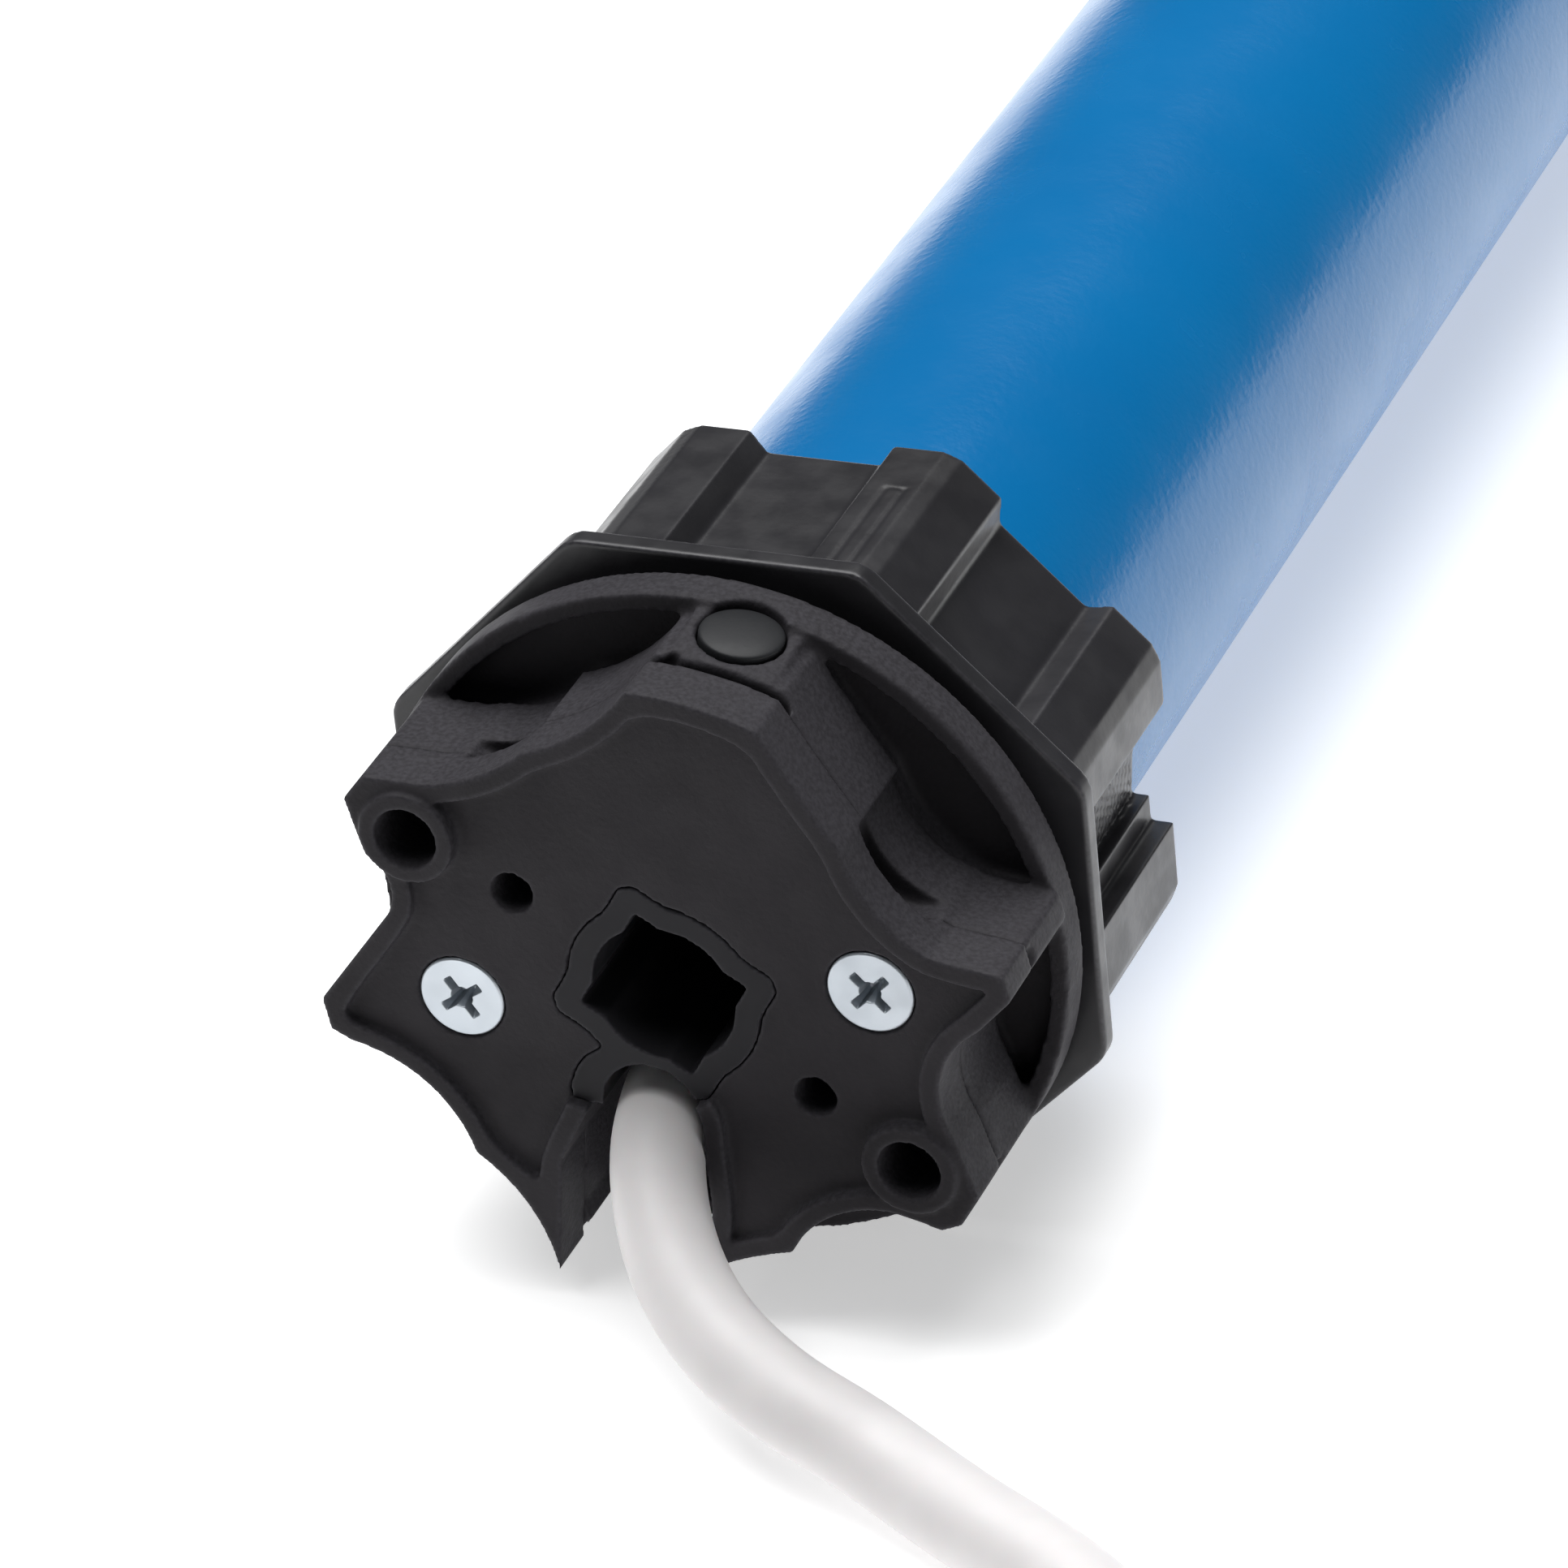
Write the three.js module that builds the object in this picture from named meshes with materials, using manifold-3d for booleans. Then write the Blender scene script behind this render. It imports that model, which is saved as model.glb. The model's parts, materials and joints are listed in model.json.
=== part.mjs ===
// Tubular roller shutter motor: star-shaped head with a set button and a supply cable, a running ring
// with an octagonal crown, a steel tube holding the electronics, the motor with its brake and a
// three-stage planetary gearbox, and an octagonal drive wheel on the output shaft.
// Millimetres, +Z up. The motor's axis runs along +Y from the head to the drive wheel.

import * as THREE from 'three';
import { mergeVertices } from 'three/addons/utils/BufferGeometryUtils.js';
import Module from 'manifold-3d';

const wasm = await Module();
wasm.setup();

// ---------------------------------------------------------------- driving dimensions
// Positions along the axis are counted from the floor of the head's front face, and a pair is
// [from, to] or [inner, outer].

const GAP = 0.3;                    // left between touching pieces
const BITE = 0.5;                   // how far solids reach into each other where they are joined
const FRONT_CUT = [-9, 9];          // long enough to cut through the head cover
const DEGREE = Math.PI / 180;

// Across the axis.
const TUBE_R = 22.5;
const TUBE_BORE_R = 21.5;
const INNER_R = 21.2;               // everything that fits in the tube
const FLANGE_FLATS = 61;            // crown flange, across flats
const CROWN_FLATS = { pads: 56.4, recess: 52.8 };
const WHEEL_FLATS = { pads: 58, recess: 54.6 };
const PAD = { start: 6, slope: 1.2, bevel: 0.9 };
const RING_BORE_R = 21.6;
const RING_R = 24.0;
const CROWN_BORE_R = 24.3;

// Along the axis.
const LIP = { height: 1.0, width: 1.8 };
const COVER_BACK = 4.3;
const BODY_FRONT = 5.2;
const CROWN_FLANGE = [17.9, 19.9];
const CROWN_END = 42;
const RUNNING_RING = [17.2, 42];
const CRAWLER_GEAR = [33.8, 41.2];
const TUBE = [42.6, 519.7];
const OVERALL_END = 553;

// Head. Its face sits turned on the axis, clockwise seen from the front.
const HEAD_TURN = 11.34;
const SPIGOT = { r: 13, length: 0.6 };
const COLLAR = { r: 30.2, from: 12.0, to: 15.8, rim: 1.6, web: 1.4 };
const NECK = { r: 21.2, end: 60, hollow: 18.2, hollowFrom: 42 };
const BOSS = { r: 24.2, angle: -20.3, hole: 2.7, depth: 11, ring: 4.1, height: 1.6, lug: 5.8 };
const SCREW = { r: 18.36, angle: 20.6, head: 3.7, rim: 0.35, sink: 2.2, shank: 1.5, length: 15 };
const SCREW_ROOM = { head: 0.25, shank: 0.4, end: 1.5 };
const CROSS = { length: 2.1, half: 0.45, depth: 1.3 };
const SMALL_HOLE = { r: 14.7, angle: -21, hole: 1.8 };
const SOCKET = { r: 6.2, corner: 7.6, turn: 24.5, depth: 22 };
const INSERT = { wall: 2.2, depth: 24 };
const HOOK = { reach: 6.9, drop: 1.2, depth: 8 };
const LUG = { half: 11.2, front: 28.8, back: 30.2, inner: 18 };
const BUTTON = { y: 9.9, r: 3.5, flange: 3.9, low: 25.6, shoulder: 26.8, bevel: 0.7, top: 29.7 };
const BUTTON_ROOM = { side: 0.25, wellDepth: 6, flangeFrom: 24.6, flangeTo: 27.2 };
const SWITCH = { half: 3, low: 20.5, high: 23.4, stem: 1.2, stemTop: 24.4, room: 0.4, roomTop: 25 };

// Supply cable and its gland.
const CABLE_R = 3.9;
const CABLE_DROP = 11.6;            // its axis below the motor's, in the head's own direction
const CABLE_END = 33.7;             // its end inside the gland
const SLOT = { half: 5, top: -12.6, bottom: -40 };
const GLAND = { from: 25.3, to: 41, r: 5.2, room: 5.5, roomTo: 50 };
const CORE = { r: 1.1, first: 52.2, start: -150, stagger: 4, sweep: 40 };

// Coil of the spare cable, on the ground in front of the head.
const COIL = { x: 25, y: -119.5, inner: 31.3, turns: 4, upperTurns: 3 };

// Keys between the running ring and the crown.
const KEY = { angles: [22.5, 202.5], half: 2, reach: 26.2, y: [20, 41.5] };

// Gears: one module and one tooth shape everywhere.
const GEAR = { module: 0.8, addendum: 0.62, tipHalf: 0.26, root: 1.3, ringRoot: 1.4 };
const SUN = { teeth: 12, bore: 2.5, lead: 0.6 };
const PLANET_TEETH = 15;
const CRAWLER_TEETH = 55;           // inside the running ring
const ENCODER = { teeth: 12, gear: [34.2, 40.8], shaft: 1.5, magnet: 3.1, magnetY: [54.5, 59] };
const ENCODER_ROOM = { gear: 6, gearY: [33.5, 43], magnet: 3.5 };
const STAGES = [
  { gears: [400, 410], plate: [411, 414.6], pin: 1.7 },
  { gears: [417, 429], plate: [430.2, 434.4], pin: 1.9 },
  { gears: [437, 452], plate: [453.2, 459], pin: 2.1 },
];
const CARRIER = { r: 15.6, stub: 2.2, hub: 9, hubEnd: 474, socket: 4.3 };
const GEARBOX = { front: [394.6, 397.6], end: 462, opening: 6, teeth: 42 };

// Electronics.
const TRAY = { y: [66, 250], r: 21, inner: 19.2, from: 190, to: 350, steps: 16 };
const LEDGE = { y: [68, 160], x: 16.5, half: 2, z: [-7.2, -5.5] };
const BOARD = { y: [70, 160], half: 17.6, z: [-5.2, -3.6] };
const PART_Z = BOARD.z[1] + GAP;    // where the board's components stand
const TERMINALS = { y: [71, 81], half: 10, top: 6 };
const RELAY = { y: [86, 106], from: 2, to: 14, top: 9 };
const MODULE = { y: [112, 138], half: 12, top: 10 };
const CAPACITOR = { r: 14.5, y: [166, 240], z: -4.2 };
const LEADS_R = 1.3;

// Motor and brake.
const FRONT_SHIELD = { mouth: 266, wall: 256, seat: 259 };
const REAR_SHIELD = { mouth: 373, wall: 363.5, seat: 366.2 };
const SHIELD = { shaftHole: 4.5, bearingSeat: 10 };
const BEARING = { inner: 3.3, outer: 9.6, width: 6, front: 259.4, rear: 366.5 };
const STATOR = { y: [280, 350], bore: 12.7, slots: 12, slotHalf: 1.6, slotR: [13.6, 18] };
const WINDING = { r: [13.4, 19.6], bevel: 1, rise: 2, ends: [[268, 279.7], [350.3, 362]] };
const WINDING_BAR = { r: [13.9, 17.7], y: [278, 352], half: 1.3 };
const LEAD_HOLE = { r: 1.8, y: [250, 270], x: 9, z: 14.3 };
const SHAFT = { r: 3, thin: 2.2, from: 254, thickTo: 396, thinFrom: 398.5, to: 410.5 };
const ROTOR = { bore: 3.3, r: 12.3, ring: 11, y: [277, 353], coreY: [280.5, 349.5] };
const MAGNET = { y: [374, 386], groove: 379, poles: [9, 12, 18] };
const SPRING = { r: 6.6, wire: 0.6, from: 375, rise: 10.4, turns: 3, steps: 27 };
const BRAKE_PLATE = { r: [5.2, 20.6], y: [387.2, 390.2] };
const BRAKE_DISC = { r: [3.3, 19], y: [390.7, 393.9] };

// Output end.
const CAP = { bore: 9.5, hub: 12, skirt: 18.4, from: 476, web: 512, flange: [520, 524] };
const BUSH = { bore: 6.3, r: 9.2, flangeR: 11.5, from: 484, flange: [524.3, 526] };
const OUTPUT = { r: 6, y: [474.3, 526.7], tongue: 4, tongueFrom: 460, square: 5, end: 548 };
const OUTPUT_HOLE = { r: 2.3, from: 534 };
const WHEEL = { y: [527, 548], bore: 23.4, web: [535, 538.5], hub: 9.5, ribY: [529, 546], ribHalf: 1.2 };
const WHEEL_SCREW = { r: 2, from: 537, washer: 8, washerY: [548.3, 549.8], head: 4.2, bevelFrom: 552 };
const TUBE_SCREW = { y: 505, r: 1.7, hole: 2.0, tip: 19.2, head: 3.3, headHeight: 1.3 };
const TUBE_SCREW_ANGLES = { tube_screw_upper: 45, tube_screw_lower: 225 };

const AXIS_HEIGHT = FLANGE_FLATS / 2;
const CENTRE_Y = (OVERALL_END - BOSS.height) / 2;

// ---------------------------------------------------------------- materials

function material(color, roughness, metalness = 0) {
  return new THREE.MeshStandardMaterial({ color, roughness, metalness });
}

const BLACK_PLASTIC = material('#2c2b2f', 0.6);
const SMOOTH_BLACK = material('#262629', 0.45);
const BLUE_PAINT = material('#0076bd', 0.4);
const ZINC = material('#c3cdd6', 0.35, 0.9);
const STEEL = material('#9a9da1', 0.35, 0.9);
const DARK_STEEL = material('#55585c', 0.5, 0.8);
const COPPER = material('#b06a3c', 0.4, 0.8);
const BRONZE = material('#a8813f', 0.4, 0.8);
const BUTTON_GREY = material('#6a6f70', 0.35);
const CABLE_GREY = material('#dcdcdc', 0.5);
const RUBBER = material('#1c1c1d', 0.8);
const BOARD_GREEN = material('#1d5a38', 0.5);
const RELAY_BLUE = material('#20365f', 0.4);
const GREY_PLASTIC = material('#8d9092', 0.5);
const GEAR_PLASTIC = material('#e3e0d2', 0.45);
const ALUMINIUM = material('#c9ccd0', 0.4, 0.9);
const CORE_BROWN = material('#5b3420', 0.5);
const CORE_BLUE = material('#1f5fae', 0.5);
const CORE_GREEN = material('#6fa32c', 0.5);

// ---------------------------------------------------------------- points and outlines

function point(x, z) {
  return new THREE.Vector2(x, z);
}

function polar(r, angle) {
  return point(r * Math.cos(angle * DEGREE), r * Math.sin(angle * DEGREE));
}

function opposite(p) {
  return p.clone().negate();
}

// The numbers from 0 up to count, passed through make.
function repeat(count, make) {
  return Array.from({ length: count }, (_, i) => make(i));
}

function circle(r, count = 32) {
  return repeat(count, (i) => polar(r, (360 * i) / count));
}

function rectangle(x0, z0, x1, z1) {
  return [point(x0, z0), point(x1, z0), point(x1, z1), point(x0, z1)];
}

// Points on the arc from a to b through m, without b.
function arc(a, m, b, count = 6) {
  const d = 2 * (a.x * (m.y - b.y) + m.x * (b.y - a.y) + b.x * (a.y - m.y));
  const square = (p) => p.x * p.x + p.y * p.y;
  const cx = (square(a) * (m.y - b.y) + square(m) * (b.y - a.y) + square(b) * (a.y - m.y)) / d;
  const cy = (square(a) * (b.x - m.x) + square(m) * (a.x - b.x) + square(b) * (m.x - a.x)) / d;
  const radius = a.distanceTo(point(cx, cy));
  const turn = (angle) => ((angle % (2 * Math.PI)) + 2 * Math.PI) % (2 * Math.PI);
  const angleOf = (p) => Math.atan2(p.y - cy, p.x - cx);
  const start = angleOf(a);
  let sweep = turn(angleOf(b) - start);
  if (turn(angleOf(m) - start) > sweep) sweep -= 2 * Math.PI;
  return repeat(count, (i) => {
    const angle = start + (sweep * i) / count;
    return point(cx + radius * Math.cos(angle), cy + radius * Math.sin(angle));
  });
}

// An anticlockwise outline moved inwards by distance. Sharp corners are held back.
function inset(outline, distance) {
  const sharpest = 0.4;
  return outline.map((p, i) => {
    const before = p.clone().sub(outline.at(i - 1)).normalize();
    const after = outline[(i + 1) % outline.length].clone().sub(p).normalize();
    const inward = point(-before.y - after.y, before.x + after.x).normalize();
    const cosine = Math.max(sharpest, before.x * inward.y - before.y * inward.x);
    return p.clone().addScaledVector(inward, distance / cosine);
  });
}

// ---------------------------------------------------------------- solids

// A manifold solid from a closed geometry, with its faces pointing out.
function solid(geometry) {
  const bare = geometry.clone();
  bare.deleteAttribute('normal');
  bare.deleteAttribute('uv');
  const merged = mergeVertices(bare, 1e-4);
  const position = merged.getAttribute('position');
  const corner = repeat(3, () => new THREE.Vector3());
  const triangles = [];
  let volume = 0;
  for (let i = 0; i < merged.index.count; i += 3) {
    const ids = [0, 1, 2].map((k) => merged.index.getX(i + k));
    if (new Set(ids).size < 3) continue;
    ids.forEach((id, k) => corner[k].fromBufferAttribute(position, id));
    volume += corner[0].dot(corner[1].clone().cross(corner[2]));
    triangles.push(ids);
  }
  const facing = volume < 0 ? triangles.map(([a, b, c]) => [a, c, b]) : triangles;
  return new wasm.Manifold(new wasm.Mesh({
    numProp: 3,
    vertProperties: Float32Array.from(position.array),
    triVerts: Uint32Array.from(facing.flat()),
  }));
}

// A prism along the axis. Outlines are drawn as seen from the front: x to the right, z up.
function prism(outline, y0, y1, holes = []) {
  const shape = new THREE.Shape(outline);
  holes.forEach((hole) => shape.holes.push(new THREE.Path(hole)));
  const geometry = new THREE.ExtrudeGeometry(shape, { depth: y1 - y0, bevelEnabled: false });
  geometry.rotateX(Math.PI / 2);
  geometry.translate(0, y1, 0);
  return solid(geometry);
}

// A solid of revolution about the motor's axis, from a profile of [radius, y].
function turned(profile, segments = 32) {
  const points = profile.map(([r, y]) => point(r, y));
  const closesOnAxis = profile[0][0] === 0 && profile.at(-1)[0] === 0;
  if (!closesOnAxis) points.push(points[0].clone());
  return solid(new THREE.LatheGeometry(points, segments));
}

function ring([inner, outer], [y0, y1], segments = 32) {
  return turned([[inner, y0], [outer, y0], [outer, y1], [inner, y1]], segments);
}

function rod(r, [y0, y1], segments = 24, at = point(0, 0)) {
  const geometry = new THREE.CylinderGeometry(r, r, y1 - y0, segments);
  geometry.translate(at.x, (y0 + y1) / 2, at.y);
  return solid(geometry);
}

function block([x0, x1], [y0, y1], [z0, z1]) {
  const geometry = new THREE.BoxGeometry(x1 - x0, y1 - y0, z1 - z0);
  geometry.translate((x0 + x1) / 2, (y0 + y1) / 2, (z0 + z1) / 2);
  return solid(geometry);
}

function around(half, middle = 0) {
  return [middle - half, middle + half];
}

function tubeAlong(route, radius, sides, steps) {
  const points = route.map(([x, y, z]) => new THREE.Vector3(x, y, z));
  const curve = new THREE.CatmullRomCurve3(points, false, 'centripetal');
  const section = new THREE.Shape(circle(radius, sides));
  const options = { extrudePath: curve, steps, bevelEnabled: false };
  return solid(new THREE.ExtrudeGeometry(section, options));
}

// A solid turned about the motor's axis, clockwise seen from the front.
function spun(body, angle) {
  return body.rotate([0, angle, 0]);
}

function union(bodies) {
  return bodies.reduce((sum, body) => sum.add(body));
}

function cut(body, tools) {
  return tools.reduce((left, tool) => left.subtract(tool), body);
}

// The same round tool at a place and at the place opposite it.
function pair(at, r, span, segments) {
  return [at, opposite(at)].map((centre) => rod(r, span, segments, centre));
}

// ---------------------------------------------------------------- head outlines

const bossCentre = polar(BOSS.r, BOSS.angle);
const screwCentre = polar(SCREW.r, SCREW.angle);
const smallHoleCentre = polar(SMALL_HOLE.r, SMALL_HOLE.angle);

// The star, anticlockwise from the lug: scalloped between two bosses, two tips and the cable slot.
// Blunted, it leaves out the thin spike and heel beside the slot.
function starOutline(blunted = false) {
  const lugLeft = polar(LUG.front, 90 + LUG.half);
  const lugRight = polar(LUG.front, 90 - LUG.half);
  const tip = point(29.0, 9.3);
  const tipBack = point(28.2, 12.9);
  const bossTop = point(26.9, -4.1);
  const bossSide = polar(BOSS.lug, -20).add(bossCentre);
  const bossBottom = point(21.6, -14.1);
  const footRight = point(13.3, -20.6);
  const heel = point(6.6, -25.2);
  const spike = blunted ? point(-6.9, -22.9) : point(-6.2, -29.9);
  const cusp = point(-14.2, -20.4);
  const archLeft = point(-5.0, -12.6);
  const archRight = point(5.0, -12.6);
  return [
    ...arc(lugLeft, polar(21.6, 128), opposite(bossBottom), 7),
    ...arc(opposite(bossBottom), opposite(bossSide), opposite(bossTop), 4),
    ...arc(opposite(bossTop), point(-23.5, 0.8), opposite(tip), 5),
    opposite(tip),
    opposite(tipBack),
    ...arc(point(-26.4, -13.1), point(-19.0, -14.6), cusp, 4),
    ...(blunted ? [cusp, point(-9.6, -23.4)] : arc(cusp, point(-9.4, -23.6), spike, 3)),
    spike,
    point(-6.9, -18.8),
    ...arc(archLeft, point(0, -7.4), archRight, 8),
    archRight,
    point(6.4, -18.8),
    ...arc(heel, point(10.4, -22.2), footRight, 3),
    ...arc(footRight, point(15.2, -16.6), bossBottom, 4),
    ...arc(bossBottom, bossSide, bossTop, 4),
    ...arc(bossTop, point(23.5, -0.8), tip, 5),
    tip,
    tipBack,
    ...arc(point(18.8, 12.9), point(12.6, 17.8), point(7.8, 24.2), 5),
    point(7.8, 24.2),
    lugRight,
    polar(LUG.front, 90),
  ];
}

// The socket: a round hole with four square corners.
function socketOutline(grow) {
  const r = SOCKET.r + grow;
  const corner = SOCKET.corner + grow * Math.SQRT2;
  const reach = Math.acos(Math.min(1, corner / Math.SQRT2 / r)) / DEGREE;
  return repeat(4, (k) => SOCKET.turn + 90 * k).flatMap((angle) => [
    polar(corner, angle),
    polar(r, angle + 45 - reach),
    polar(r, angle + 45),
    polar(r, angle + 45 + reach),
  ]);
}

function insertOutline(grow) {
  return socketOutline(INSERT.wall + grow);
}

// The insert's hook, which arches over the left of the cable.
function hookOutline(grow) {
  const outer = HOOK.reach + grow;
  const end = -CABLE_DROP - HOOK.drop - grow;
  return [
    point(-4.3 + grow, -5.2),
    ...arc(point(-4.9 - grow, -7.2), point(-outer, -10.4), point(-outer, end), 3),
    point(-outer, end),
    point(-4.4, end),
    point(0, -CABLE_DROP),
  ];
}

// ---------------------------------------------------------------- head

function countersunk(head, shank, y0, y1) {
  const rimEnd = y0 + SCREW.rim;
  const sinkEnd = rimEnd + SCREW.sink;
  return turned([[0, y0], [head, y0], [head, rimEnd], [shank, sinkEnd], [shank, y1], [0, y1]], 16);
}

function atBothScrews(tool) {
  return [screwCentre, opposite(screwCentre)].map(({ x, y }) => tool.translate([x, 0, y]));
}

function cableChannel(span) {
  return rod(CABLE_R + GAP, span, 16, point(0, -CABLE_DROP));
}

function cableWayOut(span) {
  return block(around(SLOT.half), span, [SLOT.bottom, SLOT.top]);
}

function headCover() {
  const star = starOutline();
  const slab = prism(star, 0, COVER_BACK);
  const inside = prism(inset(starOutline(true), LIP.width), -2 * LIP.height, 1);
  const lip = prism(star, -LIP.height, BITE).subtract(inside);
  const spigot = rod(SPIGOT.r, [COVER_BACK - BITE, COVER_BACK + SPIGOT.length], 16);
  const bosses = pair(bossCentre, BOSS.ring, [-BOSS.height, BITE], 16);
  const screwHead = SCREW.head + SCREW_ROOM.head;
  const screwShank = SCREW.shank + SCREW_ROOM.shank;
  return cut(union([slab, lip, spigot, ...bosses]), [
    prism(insertOutline(GAP), ...FRONT_CUT),
    prism(hookOutline(GAP), ...FRONT_CUT),
    cableChannel(FRONT_CUT),
    cableWayOut(FRONT_CUT),
    ...pair(bossCentre, BOSS.hole, FRONT_CUT, 12),
    ...pair(smallHoleCentre, SMALL_HOLE.hole, FRONT_CUT, 12),
    ...atBothScrews(countersunk(screwHead, screwShank, -0.05, FRONT_CUT[1])),
    ...pair(screwCentre, screwHead, [FRONT_CUT[0], 0], 16),
  ]);
}

// The lug's top, which rises gently to the back of the collar.
function lugBlock() {
  const beyond = LUG.back + 4;
  const sector = [
    point(0, LUG.inner),
    polar(beyond, 90 - LUG.half),
    polar(beyond, 90 + LUG.half),
  ];
  const cone = turned([
    [0, BODY_FRONT], [LUG.front, BODY_FRONT], [LUG.back, COLLAR.to], [0, COLLAR.to],
  ], 48);
  return prism(sector, BODY_FRONT, COLLAR.to).intersect(cone);
}

// The collar is hollow from the front outside the star, so that only its rim and web are left.
function collar(star) {
  const disc = rod(COLLAR.r, [COLLAR.from, COLLAR.to], 48);
  const hollow = rod(COLLAR.r - COLLAR.rim, [COLLAR.from - 1, COLLAR.to - COLLAR.web], 48);
  return disc.subtract(cut(hollow, [prism(star, 0, 2 * COLLAR.to), lugBlock()]));
}

function encoderRoom() {
  const centre = point(0, encoderOffset());
  const room = union([
    rod(ENCODER_ROOM.gear, ENCODER_ROOM.gearY, 16, centre),
    rod(ENCODER_ROOM.magnet, [ENCODER_ROOM.gearY[1] - 3, NECK.end + 1], 12, centre),
  ]);
  return spun(room, -HEAD_TURN);
}

function switchRoom() {
  const half = SWITCH.half + SWITCH.room;
  return block(around(half), around(half, BUTTON.y), [SWITCH.low - GAP, SWITCH.roomTop]);
}

function headBody() {
  const star = starOutline();
  const trunk = prism(star, BODY_FRONT, COLLAR.from + BITE);
  const neck = rod(NECK.r, [COLLAR.to - BITE, NECK.end], 36);
  const screwShank = SCREW.shank + SCREW_ROOM.shank;
  const { side, wellDepth, flangeFrom, flangeTo } = BUTTON_ROOM;
  return cut(union([trunk, collar(star), neck, lugBlock()]), [
    prism(insertOutline(GAP), 0, INSERT.depth + GAP),
    prism(hookOutline(GAP), 0, HOOK.depth + GAP),
    cableChannel([0, GLAND.from + BITE]),
    cableWayOut([0, COLLAR.from]),
    rod(GLAND.room, [GLAND.from - GAP, GLAND.roomTo], 16, point(0, -CABLE_DROP)),
    rod(NECK.hollow, [NECK.hollowFrom, NECK.end + 1], 24),
    ...pair(bossCentre, BOSS.hole, [0, BOSS.depth], 12),
    ...pair(screwCentre, screwShank, [0, SCREW.length + SCREW_ROOM.end], 10),
    buttonCylinder(BUTTON.r + side, BUTTON.top - wellDepth, BUTTON.top + 2),
    buttonCylinder(BUTTON.flange + GAP, flangeFrom, flangeTo),
    switchRoom(),
    encoderRoom(),
  ]);
}

function socketInsert() {
  const outer = prism(insertOutline(0), 0, INSERT.depth).add(prism(hookOutline(0), 0, HOOK.depth));
  const through = [-1, INSERT.depth + 1];
  return cut(outer, [
    prism(socketOutline(0), -1, SOCKET.depth),
    cableChannel(through),
    cableWayOut(through),
  ]);
}

function headScrew() {
  const depth = [-1, CROSS.depth];
  return cut(countersunk(SCREW.head, SCREW.shank, 0, SCREW.length), [
    block(around(CROSS.length), depth, around(CROSS.half)),
    block(around(CROSS.half), depth, around(CROSS.length)),
  ]);
}

// A cylinder on the button's own axis, which points out of the lug.
function buttonCylinder(r, low, high) {
  const geometry = new THREE.CylinderGeometry(r, r, high - low, 16);
  geometry.rotateX(Math.PI / 2);
  geometry.translate(0, BUTTON.y, (low + high) / 2);
  return solid(geometry);
}

function setButton() {
  const { r, flange, low, shoulder, bevel, top } = BUTTON;
  const profile = [
    point(0, low), point(flange, low), point(flange, shoulder), point(r, shoulder),
    point(r, top - bevel), point(0.7 * r, top - 0.3 * bevel), point(0, top),
  ];
  const geometry = new THREE.LatheGeometry(profile, 16);
  geometry.rotateX(Math.PI / 2);
  geometry.translate(0, BUTTON.y, 0);
  return solid(geometry);
}

function buttonSwitch() {
  const { half, low, high, stem, stemTop } = SWITCH;
  const box = block(around(half), around(half, BUTTON.y), [low, high]);
  return box.add(block(around(stem), around(stem, BUTTON.y), [high - BITE, stemTop]));
}

// A rubber plug around the end of the cable.
function cableGland() {
  const bore = CABLE_R + GAP;
  const bottom = CABLE_END + GAP;
  const profile = [
    [0, GLAND.to], [GLAND.r, GLAND.to], [GLAND.r, GLAND.from],
    [bore, GLAND.from], [bore, bottom], [0, bottom],
  ];
  return turned(profile, 16).translate([0, 0, -CABLE_DROP]);
}

// ---------------------------------------------------------------- crown and running ring

// An octagon with level flats: raised pads at its corners and a shallow recess along each flat.
function crownOutline({ pads, recess }) {
  const high = pads / 2;
  const low = recess / 2;
  const padEnd = high * Math.tan(22.5 * DEGREE) - PAD.bevel;
  const floorEnd = PAD.start - PAD.slope;
  const side = [
    point(high, -padEnd), point(high, -PAD.start), point(low, -floorEnd),
    point(low, floorEnd), point(high, PAD.start), point(high, padEnd),
  ];
  return repeat(8, (k) => 45 * k * DEGREE).flatMap((angle) => (
    side.map((p) => p.clone().rotateAround(point(0, 0), angle))
  ));
}

function octagon(acrossFlats) {
  const r = acrossFlats / 2 / Math.cos(22.5 * DEGREE);
  return repeat(8, (k) => polar(r, 22.5 + 45 * k));
}

function keys(grow) {
  const span = [KEY.y[0] - grow, grow > 0 ? CROWN_END + 1 : KEY.y[1]];
  const key = block([RING_R - 1, KEY.reach + grow], span, around(KEY.half + grow));
  return KEY.angles.map((angle) => spun(key, -angle));
}

function crownAdapter() {
  const [y0, y1] = CROWN_FLANGE;
  const flange = prism(octagon(FLANGE_FLATS), y0, y1);
  const body = prism(crownOutline(CROWN_FLATS), y1 - BITE, CROWN_END);
  const bore = rod(CROWN_BORE_R, [y0 - 1, CROWN_END + 1], 40);
  return cut(flange.add(body), [bore, ...keys(GAP)]);
}

function runningRing() {
  const [y0, y1] = RUNNING_RING;
  const [gearFrom, gearTo] = CRAWLER_GEAR;
  return union([
    ring([RING_BORE_R, RING_R], [y0, gearFrom], 36),
    spun(internalGear(CRAWLER_TEETH, RING_R, gearFrom, gearTo), -90),
    ring([RING_BORE_R, RING_R], [gearTo, y1], 36),
    ...keys(0),
  ]);
}

// ---------------------------------------------------------------- gears

function pitchRadius(teeth) {
  return (GEAR.module * teeth) / 2;
}

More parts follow.
